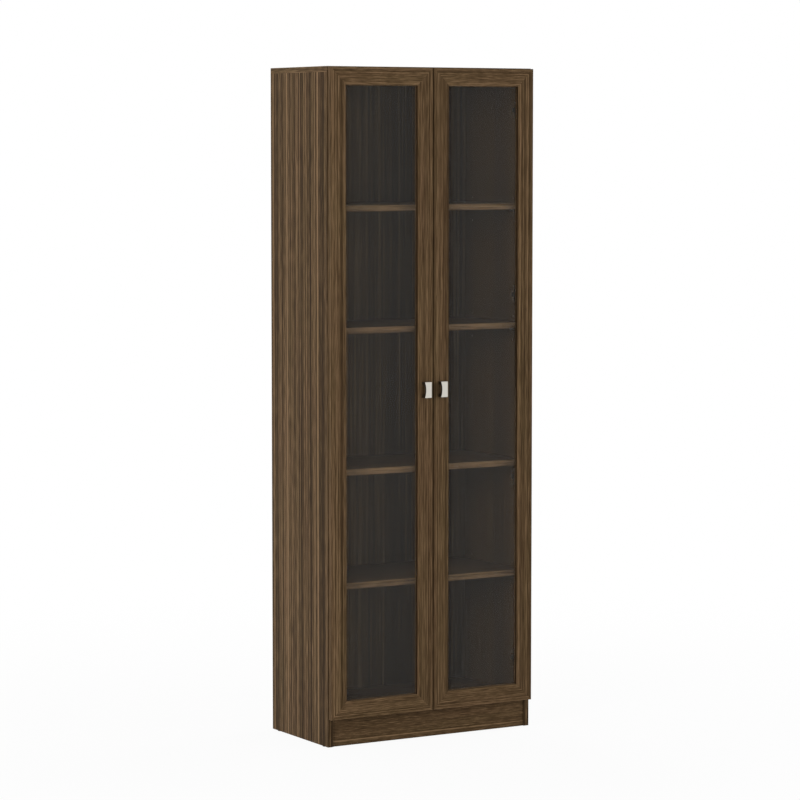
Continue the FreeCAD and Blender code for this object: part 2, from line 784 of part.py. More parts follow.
def door_frame():
    """Four mitred members round the glass, drilled for hinges, handle and mitre dowels."""
    loose = cells.fit_clearance
    hinge_holes = []
    for number, height in enumerate(hinge_heights):
        hinge_holes.append(rod("cup_seat_%d" % number, (cup_x, door_back - cells.cup_depth, height), "y",
                               cells.cup_radius + loose, cells.cup_depth))
        half_width = cells.flange_width / 2 + loose
        half_height = cells.flange_height / 2 + loose
        hinge_holes.append(box("flange_seat_%d" % number, (cup_x - half_width, cup_x + half_width),
                               (door_back - cells.flange_thick, door_back),
                               (height - half_height, height + half_height)))
        for side in (-1, 1):
            z = height + cells.flange_screw_pitch * (side / 2)
            hinge_holes.append(rod("cup_screw_hole_%d_%d" % (number, side + 1),
                                   (cup_x, door_back - cells.cup_screw_length, z), "y",
                                   cells.wood_screw_radius + loose, cells.cup_screw_length))
    handle_holes = [rod("handle_hole_%d" % number, (handle_x, door_front, z), "y",
                        cells.handle_screw_radius + loose, cells.door_thick)
                    for number, z in enumerate(handle_screw_heights)]
    members = (
        ("door_hinge_stile_left", door_left, 1, True, door_low, door_high, ("low_hinge", "high_hinge"),
         hinge_holes),
        ("door_handle_stile_left", door_right, -1, True, door_low, door_high, ("low_handle", "high_handle"),
         handle_holes),
        ("door_bottom_rail_left", door_low, 1, False, door_left, door_right, ("low_hinge", "low_handle"), []),
        ("door_top_rail_left", door_high, -1, False, door_left, door_right, ("high_hinge", "high_handle"), []),
    )
    for name, edge, inward, upright, low, high, corners, holes in members:
        body = frame_member(name, edge, inward, upright, low, high, corners)
        ways = [mitre_dowel("%s_way_%s" % (name, corner), corner, cells.mitre_dowel_radius + loose)
                for corner in corners]
        keep_pair(cut(name, body, holes + ways))
    keep_pair(group("mitre_dowels_left",
                    [mitre_dowel("mitre_dowel_" + corner, corner, cells.mitre_dowel_radius)
                     for corner in door_corners]))


door_frame()


def glazing():
    """The pane against the lips, and the four strips that hold it from behind."""
    inset = glass_inset + cells.glass_clearance
    pane_back = door_back - cells.rebate_depth + cells.glass_thick
    keep_pair(box("glass_pane_left", (door_left + inset, door_right - inset),
                  (door_back - cells.rebate_depth, pane_back), (door_low + inset, door_high - inset)))
    outer = glass_inset + cells.bead_clearance
    inner = cells.frame_width + cells.bead_overhang
    depth = (pane_back, door_back)
    tall = (door_low + outer, door_high - outer)
    wide = (door_left + inner, door_right - inner)
    keep_pair(group("glazing_beads_left", [
        box("bead_hinge_side", (door_left + outer, door_left + inner), depth, tall),
        box("bead_handle_side", (door_right - inner, door_right - outer), depth, tall),
        box("bead_low", wide, depth, (door_low + outer, door_low + inner)),
        box("bead_high", wide, depth, (door_high - inner, door_high - outer)),
    ]))


glazing()

# ---------------------------------------------------------------- handles and bumpers


def bow_radius(chord, rise):
    """The radius of an arc over a chord with a given rise."""
    return (chord * chord / 4 + rise * rise) / (rise * 2)


def handle():
    """A small bow handle: feet at both ends, a strap that bows forward, and a waist at mid height."""
    body = doc.addObject("PartDesign::Body", "handle_casting")
    low = handle_z - cells.handle_height / 2
    high = handle_z + cells.handle_height / 2
    ends = door_front - cells.handle_end_reach
    bow = bow_radius(cells.handle_height, cells.handle_reach - cells.handle_end_reach)
    grip = cells.handle_grip_height / 2
    inside = ends + cells.handle_strap
    slope = grip - cells.handle_grip_draft
    side = outline(body, "handle_side", "YZ_Plane", handle_x, [
        (door_front, low),
        (door_front, handle_z - grip),
        (inside, handle_z - slope, bow, 1),
        (inside, handle_z + slope),
        (door_front, handle_z + grip),
        (door_front, high),
        (ends, high, bow, 1),
        (ends, low),
    ])
    pad(body, side, cells.handle_width, midplane=True)
    waist = bow_radius(cells.handle_height, cells.handle_waist)
    spare = 1.0
    for label, way in (("left", -1), ("right", 1)):
        edge = handle_x + cells.handle_width * (way / 2)
        past = edge + Size.of(way * spare)
        first, last = (low, high) if way < 0 else (high, low)
        hollow = outline(body, "handle_waist_" + label, "XZ_Plane", -door_front, [
            (past, first),
            (edge, first, waist, 1),
            (edge, last),
            (past, last),
        ])
        pocket(body, hollow, cells.handle_reach * 3, midplane=True)
    holes = [rod("handle_thread_%d" % number, (handle_x, door_front - cells.handle_screw_depth, z), "y",
                 cells.handle_screw_radius, cells.handle_screw_depth)
             for number, z in enumerate(handle_screw_heights)]
    keep_pair(cut("handle_left", body, holes))
    screws = []
    for number, z in enumerate(handle_screw_heights):
        shank = rod("handle_shank_%d" % number, (handle_x, door_front - cells.handle_screw_depth, z), "y",
                    cells.handle_screw_radius, cells.handle_screw_depth + cells.door_thick)
        head = rod("handle_head_%d" % number, (handle_x, door_back, z), "y",
                   cells.screw_head_radius, cells.screw_head_thick)
        screws.append(fuse("handle_screw_%d" % number, [shank, head]))
    keep_pair(group("handle_screws_left", screws))


handle()

keep_pair(group("door_bumpers_left", [
    rod("bumper_" + label, (handle_x, door_back, z), "y", cells.bumper_radius,
        cells.door_gap - cells.bumper_clearance)
    for label, z in (("low", bottom_middle), ("high", top_under + cells.board_thick / 2))
]))

# ---------------------------------------------------------------- concealed hinges
# Each hinge is a cup let into the stile, an arm on a plate inside the case, and a bent link between them
# that turns on two pins. It is made at the lowest place and repeated up the door.

arm_pivot_x = left_inner + cells.arm_pivot_inset
arm_pivot_y = case_front - cells.arm_pivot_ahead
hinge_z = hinge_heights[0]
link_half = cells.link_width / 2
cheek_inside = link_half + cells.link_side_gap
arm_half = cheek_inside + cells.arm_wall
lug_outside = cheek_inside + cells.cup_lug_thick
up_the_door = [(ZERO, ZERO, hinge_step * number) for number in range(hinge_count)]


def hinge_cup():
    """The pressed cup with its flange, two lugs that hold the pin, and two screw holes."""
    half_flange = cells.flange_height / 2
    disc = rod("cup_disc", (cup_x, door_back - cells.cup_depth, hinge_z), "y", cells.cup_radius, cells.cup_depth)
    flange = box("cup_flange", (cup_x - cells.flange_width / 2, cup_x + cells.flange_width / 2),
                 (door_back - cells.flange_thick, door_back), (hinge_z - half_flange, hinge_z + half_flange))
    floor = door_back - cells.cup_depth + cells.cup_wall
    hollow = rod("cup_hollow", (cup_x, floor, hinge_z), "y", cells.cup_radius - cells.cup_wall, cells.cup_depth)
    shell = cut("cup_shell", fuse("cup_blank", [disc, flange]), [hollow])
    lugs = []
    for label, low, high in (("low", -lug_outside, -cheek_inside), ("high", cheek_inside, lug_outside)):
        lugs.append(box("cup_lug_" + label,
                        (pivot_x - cells.link_eye_radius, pivot_x + cells.link_eye_radius),
                        (floor - cells.cup_wall / 2, pivot_y + cells.link_eye_radius),
                        (hinge_z + low, hinge_z + high)))
    holes = [rod("cup_pin_way", (pivot_x, pivot_y, hinge_z - lug_outside), "z",
                 cells.hinge_pin_radius + cells.hinge_pin_clearance, lug_outside * 2)]
    for side in (-1, 1):
        z = hinge_z + cells.flange_screw_pitch * (side / 2)
        holes.append(countersink("cup_sink_%d" % (side + 1), z))
    keep_pair(copies("hinge_cups_left", cut("hinge_cup", fuse("cup_with_lugs", [shell, *lugs]), holes),
                     up_the_door))


def countersink(name, z):
    """The cone of a flat-headed screw in the cup's flange."""
    cone = doc.addObject("Part::Cone", name)
    cone.Placement = FreeCAD.Placement(FreeCAD.Vector(), ALONG["y"])
    bind(cone, "Radius1", cells.wood_screw_radius)
    bind(cone, "Radius2", cells.cup_screw_head_radius)
    bind(cone, "Height", cells.flange_thick)
    place(cone, cup_x, door_back - cells.flange_thick, z)
    return cone


def cup_screws():
    screws = []
    for side in (-1, 1):
        z = hinge_z + cells.flange_screw_pitch * (side / 2)
        shank = rod("cup_screw_shank_%d" % (side + 1), (cup_x, door_back - cells.cup_screw_length, z), "y",
                    cells.wood_screw_radius, cells.cup_screw_length - cells.flange_thick)
        screws.append(fuse("cup_screw_%d" % (side + 1), [shank, countersink("cup_head_%d" % (side + 1), z)]))
    keep_pair(copies("cup_screws_left", group("cup_screw_pair", screws), up_the_door))


def hinge_plate():
    """The flat plate screwed to the side panel, with its two screws."""
    plate = box("plate_blank", (left_inner, left_inner + cells.plate_thick),
                (case_front + cells.plate_front, case_front + cells.plate_front + cells.plate_length),
                (hinge_z - cells.plate_height / 2, hinge_z + cells.plate_height / 2))
    over = left_inner + cells.plate_thick
    holes = []
    screws = []
    for side in (-1, 1):
        z = hinge_z + cells.plate_screw_pitch * (side / 2)
        holes.append(rod("plate_hole_%d" % (side + 1), (left_inner, plate_screw_row, z), "x",
                         cells.wood_screw_radius + cells.fit_clearance, cells.plate_thick))
        shank = rod("plate_shank_%d" % (side + 1), (over - cells.wood_screw_length, plate_screw_row, z), "x",
                    cells.wood_screw_radius, cells.wood_screw_length)
        head = rod("plate_head_%d" % (side + 1), (over, plate_screw_row, z), "x",
                   cells.wood_screw_head_radius, cells.wood_screw_head_thick)
        screws.append(fuse("plate_screw_%d" % (side + 1), [shank, head]))
    keep_pair(copies("hinge_plates_left", cut("hinge_plate", plate, holes), up_the_door))
    keep_pair(copies("plate_screws_left", group("plate_screw_pair", screws), up_the_door))


def hinge_arm():
    """A pressed channel that lies on the plate and reaches forward to the case pin."""
    body = doc.addObject("PartDesign::Body", "arm_channel")
    eye = cells.arm_eye_radius
    foot = left_inner + cells.plate_thick
    back = case_front + cells.arm_length
    top = foot + cells.arm_height
    side = outline(body, "arm_side", "XY_Plane", hinge_z, [
        (foot, back),
        (foot, case_front + cells.arm_heel),
        (arm_pivot_x - eye, case_front + eye),
        (arm_pivot_x - eye, arm_pivot_y, eye, 1),
        (arm_pivot_x + eye, arm_pivot_y),
        (arm_pivot_x + eye, case_front + cells.arm_mouth),
        (top, back),
    ])
    pad(body, side, arm_half * 2, midplane=True)
    wall = cells.arm_wall
    spare = 1.0
    inside = outline(body, "arm_inside", "XY_Plane", hinge_z, [
        (foot - spare, back - wall),
        (foot - spare, arm_pivot_y - eye - spare),
        (arm_pivot_x + eye + spare, arm_pivot_y - eye - spare),
        (arm_pivot_x + eye + spare, case_front + cells.arm_mouth),
        (arm_pivot_x + eye - wall, case_front + cells.arm_mouth),
        (top - wall, back - wall),
    ])
    pocket(body, inside, cheek_inside * 2, midplane=True)
    way = rod("arm_pin_way", (arm_pivot_x, arm_pivot_y, hinge_z - arm_half), "z",
              cells.hinge_pin_radius + cells.hinge_pin_clearance, arm_half * 2)
    keep_pair(copies("hinge_arms_left", cut("hinge_arm", body, [way]), up_the_door))


def hinge_link():
    """A bent strap with an eye at each end, and the two pins pressed into the eyes."""
    body = doc.addObject("PartDesign::Body", "link_strap")
    half = cells.link_thick / 2
    knee_x = pivot_x + cells.link_knee_out
    knee_y = pivot_y - cells.link_knee_in
    strap = outline(body, "link_side", "XY_Plane", hinge_z, [
        (pivot_x, pivot_y - half),
        (knee_x + half / 2, knee_y - half),
        (arm_pivot_x + half, arm_pivot_y),
        (arm_pivot_x - half, arm_pivot_y + half),
        (knee_x - half / 2, knee_y + half),
        (pivot_x, pivot_y + half),
    ])
    pad(body, strap, cells.link_width, midplane=True)
    eyes = []
    pins = []
    ways = []
    for label, x, y, reach in (("case", arm_pivot_x, arm_pivot_y, arm_half),
                               ("door", pivot_x, pivot_y, lug_outside)):
        eyes.append(rod("link_eye_" + label, (x, y, hinge_z - link_half), "z",
                        cells.link_eye_radius, cells.link_width))
        ways.append(rod("link_way_" + label, (x, y, hinge_z - link_half), "z",
                        cells.hinge_pin_radius, cells.link_width))
        pins.append(rod("link_pin_" + label, (x, y, hinge_z - reach), "z",
                        cells.hinge_pin_radius, reach * 2))
    link = cut("hinge_link", fuse("link_with_eyes", [body, *eyes]), ways)
    keep_pair(copies("hinge_links_left", link, up_the_door))
    keep_pair(copies("hinge_pins_left", group("hinge_pin_pair", pins), up_the_door))


hinge_cup()
cup_screws()
hinge_plate()
hinge_arm()
hinge_link()

# ---------------------------------------------------------------- check and export

doc.recompute()
for thing in doc.Objects:
    if "Invalid" in thing.State or "Error" in thing.State:
        raise ValueError("%s did not rebuild: %s" % (thing.Name, thing.State))
for piece in nodes:
    if piece.Shape.isNull() or not piece.Shape.isValid() or not piece.Shape.Solids:
        raise ValueError(piece.Label + " is not a sound solid")
os.makedirs("parts", exist_ok=True)
for piece in nodes:
    piece.Shape.exportStep("parts/%s.step" % piece.Label)
    bounds = piece.Shape.BoundBox
    print("%-26s %3d solids  %8.2f %8.2f  %8.2f %8.2f  %8.2f %8.2f" % (
        piece.Label, len(piece.Shape.Solids), bounds.XMin, bounds.XMax, bounds.YMin, bounds.YMax,
        bounds.ZMin, bounds.ZMax))
print(len(nodes), "nodes")
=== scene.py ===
import math

import bmesh
import bpy
from mathutils import Matrix, Vector


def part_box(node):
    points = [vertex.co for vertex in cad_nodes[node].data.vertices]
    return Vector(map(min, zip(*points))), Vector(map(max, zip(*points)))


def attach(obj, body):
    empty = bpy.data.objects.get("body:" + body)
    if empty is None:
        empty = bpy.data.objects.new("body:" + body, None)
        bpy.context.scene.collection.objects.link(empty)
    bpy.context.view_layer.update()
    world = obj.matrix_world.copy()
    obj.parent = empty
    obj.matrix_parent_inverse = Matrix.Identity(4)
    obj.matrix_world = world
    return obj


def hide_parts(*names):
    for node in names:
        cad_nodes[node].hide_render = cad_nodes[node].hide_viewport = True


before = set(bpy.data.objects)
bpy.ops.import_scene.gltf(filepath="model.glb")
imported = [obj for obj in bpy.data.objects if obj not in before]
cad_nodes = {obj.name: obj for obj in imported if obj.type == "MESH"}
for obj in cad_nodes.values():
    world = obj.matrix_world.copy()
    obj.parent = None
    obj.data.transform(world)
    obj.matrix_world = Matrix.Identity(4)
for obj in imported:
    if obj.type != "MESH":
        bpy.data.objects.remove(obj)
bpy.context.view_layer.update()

stage_scene = bpy.context.scene

# ---------------------------------------------------------------- camera
# Eye level near the top of the case, well back and to the left of it, with a long lens.
# It looks a little down, so the upright edges stay almost parallel.

eye = bpy.data.cameras.new("long_lens")
eye.sensor_width = 36.0
eye.lens = 140.4
eye.clip_end = 60.0
eye_stand = bpy.data.objects.new("long_lens", eye)
eye_stand.location = (-4.27675, -7.28465, 1.61071)
eye_stand.rotation_euler = (math.radians(90 - 4.785), 0.0, math.radians(-30.3445))
stage_scene.collection.objects.link(eye_stand)
stage_scene.camera = eye_stand
stage_scene.view_settings.view_transform = "Standard"

# ---------------------------------------------------------------- studio
# A white surround whose light is a little stronger overhead, a pale floor that keeps a soft shadow, a key
# lamp low on the left that rakes the front, and weaker ones in front, on the right and behind.


def seen_directly(tree):
    """1 for what the camera, gloss and clear glass see of the surround, and 0 for the light it gives."""
    path = tree.nodes.new("ShaderNodeLightPath")
    seen = path.outputs["Is Camera Ray"]
    for kind in ("Is Glossy Ray", "Is Transmission Ray"):
        either = tree.nodes.new("ShaderNodeMath")
        either.operation = "MAXIMUM"
        tree.links.new(seen, either.inputs[0])
        tree.links.new(path.outputs[kind], either.inputs[1])
        seen = either.outputs[0]
    return seen


surround = bpy.data.worlds.new("surround")
stage_scene.world = surround
surround.use_nodes = True
sky = surround.node_tree
sky.nodes.clear()
direction = sky.nodes.new("ShaderNodeTexCoord")
upwards = sky.nodes.new("ShaderNodeSeparateXYZ")
sky.links.new(direction.outputs["Generated"], upwards.inputs[0])
glow = sky.nodes.new("ShaderNodeMapRange")
glow.inputs["From Min"].default_value = -1.0
glow.inputs["To Min"].default_value = 0.33
glow.inputs["To Max"].default_value = 0.45
sky.links.new(upwards.outputs["Z"], glow.inputs["Value"])
sky_strength = sky.nodes.new("ShaderNodeMapRange")
sky.links.new(glow.outputs["Result"], sky_strength.inputs["To Min"])
sky_strength.inputs["To Max"].default_value = 1.0
sky.links.new(seen_directly(sky), sky_strength.inputs["Value"])
sky_light = sky.nodes.new("ShaderNodeBackground")
sky_light.inputs["Color"].default_value = (1.0, 1.0, 1.0, 1.0)
sky.links.new(sky_strength.outputs["Result"], sky_light.inputs["Strength"])
sky_out = sky.nodes.new("ShaderNodeOutputWorld")
sky.links.new(sky_light.outputs[0], sky_out.inputs["Surface"])

FLOOR_RADIUS = 30.0
FLOOR_GAP = 0.0005
bpy.ops.object.select_all(action="DESELECT")
bpy.ops.mesh.primitive_circle_add(vertices=96, radius=FLOOR_RADIUS, fill_type="NGON",
                                  location=(0.0, 0.0, -FLOOR_GAP))
floor = bpy.context.object
floor.name = "studio_floor"
floor_paper = bpy.data.materials.new("floor_paper")
floor_paper.use_nodes = True
paper = floor_paper.node_tree
paper.nodes.clear()
place = paper.nodes.new("ShaderNodeTexCoord")
reach = paper.nodes.new("ShaderNodeVectorMath")
reach.operation = "LENGTH"
paper.links.new(place.outputs["Object"], reach.inputs[0])
fade = paper.nodes.new("ShaderNodeMapRange")
fade.interpolation_type = "SMOOTHSTEP"
fade.inputs["From Min"].default_value = 0.6
fade.inputs["From Max"].default_value = 3.0
fade.inputs["To Min"].default_value = 0.94
fade.inputs["To Max"].default_value = 1.0
paper.links.new(reach.outputs["Value"], fade.inputs["Value"])
whiten = paper.nodes.new("ShaderNodeMath")
whiten.operation = "MULTIPLY"
paper.links.new(fade.outputs["Result"], whiten.inputs[0])
paper.links.new(seen_directly(paper), whiten.inputs[1])
matt = paper.nodes.new("ShaderNodeBsdfDiffuse")
matt.inputs["Color"].default_value = (0.86, 0.86, 0.86, 1.0)
white = paper.nodes.new("ShaderNodeEmission")
white.inputs["Strength"].default_value = 1.0
paper_mix = paper.nodes.new("ShaderNodeMixShader")
paper.links.new(whiten.outputs[0], paper_mix.inputs["Fac"])
paper.links.new(matt.outputs[0], paper_mix.inputs[1])
paper.links.new(white.outputs[0], paper_mix.inputs[2])
paper_out = paper.nodes.new("ShaderNodeOutputMaterial")
paper.links.new(paper_mix.outputs[0], paper_out.inputs["Surface"])
floor.data.materials.append(floor_paper)

case_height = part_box("top_panel")[1][2]
case_middle = Vector((0.0, 0.0, case_height / 2))


def soft_lamp(name, place_at, size, watts):
    """A square soft box that faces the middle of the case and doesn't show in gloss or through glass."""
    box = bpy.data.lights.new(name, "AREA")
    box.size = size
    box.energy = watts
    stand = bpy.data.objects.new(name, box)
    stand.location = place_at
    aim = case_middle - Vector(place_at)
    stand.rotation_euler = aim.to_track_quat("-Z", "Y").to_euler()
    stand.visible_glossy = False
    stand.visible_transmission = False
    stage_scene.collection.objects.link(stand)


soft_lamp("lamp_left", (-8.2, -4.0, 2.5), 2.4, 356.0)
soft_lamp("lamp_front", (4.2, -5.2, 1.6), 2.4, 100.0)
soft_lamp("lamp_right", (4.4, 0.6, 2.6), 2.0, 60.0)
soft_lamp("lamp_behind", (0.6, 4.6, 2.6), 2.4, 70.0)

# ---------------------------------------------------------------- side panels
# Full-height chipboard, 15 mm thick, faced with a dark walnut foil whose grain runs up the board. The front
# edge is banded in the same foil, painted darker as shade of the gap behind the doors; the faces inside the
# case are painted darker as the shade within it. The rear edge behind the back boards and the foot are raw
# board.


def paint(red, green, blue):
    """A colour as a colour chart gives it, from 0 to 255."""
    linear = [(v / 255 / 12.92 if v / 255 < 0.04045 else ((v / 255 + 0.055) / 1.055) ** 2.4)
              for v in (red, green, blue)]
    return (*linear, 1.0)


def new_group(name, inputs, outputs):
    """An empty shader group with named sockets: (name, kind, value) in, (name, kind) out."""
    group = bpy.data.node_groups.new(name, "ShaderNodeTree")
    for label, kind, value in inputs:
        socket = group.interface.new_socket(label, in_out="INPUT", socket_type="NodeSocket" + kind)
        if value is not None:
            socket.default_value = value
    for label, kind in outputs:
        group.interface.new_socket(label, in_out="OUTPUT", socket_type="NodeSocket" + kind)
    return group, group.nodes.new("NodeGroupInput"), group.nodes.new("NodeGroupOutput")


def join(tree, value, socket):
    """Links a socket, or sets a plain value."""
    if hasattr(value, "is_output"):
        tree.links.new(value, socket)
    else:
        socket.default_value = value


def sums(tree, operation, first, second=0.0):
    """A Math node on two sockets or numbers."""
    node = tree.nodes.new("ShaderNodeMath")
    node.operation = operation
    join(tree, first, node.inputs[0])
    join(tree, second, node.inputs[1])
    return node.outputs[0]


def blend(tree, share, first, second):
    """Two colours mixed."""
    node = tree.nodes.new("ShaderNodeMix")
    node.data_type = "RGBA"
    join(tree, share, node.inputs["Factor"])
    join(tree, first, node.inputs["A"])
    join(tree, second, node.inputs["B"])
    return node.outputs["Result"]


def between(tree, value, low, high, kind="LINEAR"):
    """0 where the value is under low, 1 where it is over high."""
    node = tree.nodes.new("ShaderNodeMapRange")
    node.interpolation_type = kind
    node.inputs["From Min"].default_value = low
    node.inputs["From Max"].default_value = high
    tree.links.new(value, node.inputs["Value"])
    return node.outputs["Result"]


def noise(tree, vector, across, along, detail=1.0, roughness=0.5):
    """Noise drawn out along Z: across and along are its features per metre."""
    stretch = tree.nodes.new("ShaderNodeVectorMath")
    stretch.operation = "MULTIPLY"
    stretch.inputs[1].default_value = (across, across, along)
    tree.links.new(vector, stretch.inputs[0])
    field = tree.nodes.new("ShaderNodeTexNoise")
    field.inputs["Scale"].default_value = 1.0
    field.inputs["Detail"].default_value = detail
    field.inputs["Roughness"].default_value = roughness
    tree.links.new(stretch.outputs[0], field.inputs["Vector"])
    return field.outputs["Fac"]


def straight_grain():
    """Straight-grained walnut print: bands, streaks, flecks, fine lines and pores, all along Z."""
    group, given, result = new_group(
        "straight_grain",
        [("Vector", "Vector", None), ("Dark", "Color", None), ("Middle", "Color", None),
         ("Light", "Color", None), ("Contrast", "Float", 1.0), ("Fineness", "Float", 1.0),
         ("Long Streaks", "Float", 1.0), ("Flecks", "Float", 0.0), ("Pores", "Float", 0.5),
         ("Figure", "Float", 0.0)],
        [("Color", "Color"), ("Roughness", "Float"), ("Height", "Float")])
    narrow = group.nodes.new("ShaderNodeCombineXYZ")
    group.links.new(given.outputs["Fineness"], narrow.inputs["X"])
    group.links.new(given.outputs["Fineness"], narrow.inputs["Y"])
    narrow.inputs["Z"].default_value = 1.0
    finer = group.nodes.new("ShaderNodeVectorMath")
    finer.operation = "MULTIPLY"
    group.links.new(given.outputs["Vector"], finer.inputs[0])
    group.links.new(narrow.outputs["Vector"], finer.inputs[1])
    vector = finer.outputs[0]

    def layer(across, along, detail, weight):
        """One kind of mark: its features per metre, its detail and its weight in the tone."""
        lines = noise(group, vector, across, along, detail, 0.6)
        return sums(group, "MULTIPLY", sums(group, "SUBTRACT", lines, 0.5), weight)

    long_streaks = sums(group, "MULTIPLY", layer(150.0, 0.02, 2.0, 2.9), given.outputs["Long Streaks"])
    fine_lines = layer(430.0, 5.0, 1.0, 1.5)
    tone = sums(group, "ADD", layer(35.0, 2.0, 1.0, 0.4), long_streaks)
    tone = sums(group, "ADD", tone, layer(290.0, 1.0, 1.0, 1.6))
    tone = sums(group, "ADD", tone, fine_lines)
    flecks = sums(group, "MULTIPLY", layer(230.0, 38.0, 2.0, 3.0), given.outputs["Flecks"])
    tone = sums(group, "ADD", tone, flecks)
    dashes = sums(group, "MULTIPLY", layer(900.0, 22.0, 0.0, 3.8), given.outputs["Pores"])
    tone = sums(group, "ADD", tone, dashes)
    tone = sums(group, "ADD", sums(group, "MULTIPLY", tone, given.outputs["Contrast"]), 0.5)
    tone = sums(group, "ADD", tone, given.outputs["Figure"])
    twice = sums(group, "MULTIPLY", tone, 2.0)
    low = blend(group, twice, given.outputs["Dark"], given.outputs["Middle"])
    high = blend(group, sums(group, "SUBTRACT", twice, 1.0), low, given.outputs["Light"])
    pores = between(group, noise(group, vector, 1500.0, 45.0), 0.62, 0.70)
    pored = blend(group, sums(group, "MULTIPLY", pores, given.outputs["Pores"]), high, given.outputs["Dark"])
    drift = group.nodes.new("ShaderNodeHueSaturation")
    warm = noise(group, vector, 22.0, 3.0)
    group.links.new(sums(group, "ADD", 0.492, sums(group, "MULTIPLY", warm, 0.016)), drift.inputs["Hue"])
    group.links.new(pored, drift.inputs["Color"])
    group.links.new(drift.outputs["Color"], result.inputs["Color"])
    group.links.new(sums(group, "ADD", 0.5, sums(group, "MULTIPLY", fine_lines, 0.2)),
                    result.inputs["Roughness"])
    group.links.new(sums(group, "SUBTRACT", fine_lines, pores), result.inputs["Height"])
    return group


# A face looks squarely along an axis where its normal reaches this far along it.
SQUARELY = 0.7


def board_faces():
    """A board's cut ends, its front edge, and where it is raw: its rear edge or its underside."""
    group, given, result = new_group(
        "board_faces", [("Normal", "Vector", None), ("Rear", "Float", 1.0), ("Below", "Float", 0.0)],
        [("Ends", "Float"), ("Raw", "Float"), ("Front", "Float")])
    parts = group.nodes.new("ShaderNodeSeparateXYZ")
    group.links.new(given.outputs["Normal"], parts.inputs[0])
    ends = sums(group, "GREATER_THAN", sums(group, "ABSOLUTE", parts.outputs["X"]), SQUARELY)
    front = sums(group, "LESS_THAN", parts.outputs["Y"], -SQUARELY)
    rear = sums(group, "GREATER_THAN", parts.outputs["Y"], SQUARELY)
    below = sums(group, "LESS_THAN", parts.outputs["Z"], -SQUARELY)
    raw_rear = sums(group, "MULTIPLY", rear, given.outputs["Rear"])
    raw_below = sums(group, "MULTIPLY", below, given.outputs["Below"])
    group.links.new(ends, result.inputs["Ends"])
    group.links.new(front, result.inputs["Front"])
    group.links.new(sums(group, "MAXIMUM", raw_rear, raw_below), result.inputs["Raw"])
    return group


def raw_chipboard():
    """Pressed wood flakes, as a saw leaves them."""
    group, given, result = new_group(
        "raw_chipboard", [("Vector", "Vector", None), ("Light", "Color", paint(188, 158, 116)),
                          ("Dark", "Color", paint(120, 90, 58))], [("Color", "Color"), ("Height", "Float")])
    flakes = group.nodes.new("ShaderNodeTexVoronoi")
    flakes.inputs["Scale"].default_value = 420.0
    group.links.new(given.outputs["Vector"], flakes.inputs["Vector"])
    shade = group.nodes.new("ShaderNodeSeparateColor")
    group.links.new(flakes.outputs["Color"], shade.inputs[0])
    dust = noise(group, given.outputs["Vector"], 1400.0, 1400.0, 2.0)
    flake_tone = sums(group, "MULTIPLY", shade.outputs[0], 0.7)
    tone = sums(group, "ADD", flake_tone, sums(group, "MULTIPLY", dust, 0.4))
    colour = blend(group, tone, given.outputs["Dark"], given.outputs["Light"])
    group.links.new(colour, result.inputs["Color"])
    group.links.new(tone, result.inputs["Height"])
    return group


grain_group = straight_grain()
faces_group = board_faces()
chip_group = raw_chipboard()
WALNUT = {"Dark": paint(49, 36, 23), "Middle": paint(82, 64, 43), "Light": paint(132, 106, 78)}
UP = (0.0, 0.0, 0.0)
ALONG_X = (0.0, math.radians(90), 0.0)
ALONG_Y = (math.radians(90), 0.0, 0.0)


def placed(tree, group):
    """The node through which a material uses one of the groups."""
    return next(node for node in tree.nodes if getattr(node, "node_tree", None) == group)


def turned(tree, vector, turn):
    """Coordinates turned so that the grain's direction lies on Z."""
    mapping = tree.nodes.new("ShaderNodeMapping")
    mapping.inputs["Rotation"].default_value = turn
    tree.links.new(vector, mapping.inputs["Vector"])
    return mapping.outputs["Vector"]


def stripe(tree, vector, across, place_at, half_width, strength):
    """One line of the figure that runs the whole board, at a place across it."""
    parts = tree.nodes.new("ShaderNodeSeparateXYZ")
    tree.links.new(vector, parts.inputs[0])
    wander = sums(tree, "MULTIPLY", sums(tree, "SUBTRACT", noise(tree, vector, 0.0, 2.0), 0.5), 0.003)
    aside = sums(tree, "SUBTRACT", parts.outputs[across], place_at)
    offset = sums(tree, "ABSOLUTE", sums(tree, "ADD", aside, wander))
    near = sums(tree, "SUBTRACT", 1.0, between(tree, offset, 0.4 * half_width, half_width, "SMOOTHSTEP"))
    uneven = sums(tree, "ADD", 0.5, noise(tree, vector, 0.0, 9.0, 2.0))
    return sums(tree, "MULTIPLY", sums(tree, "MULTIPLY", near, uneven), strength)


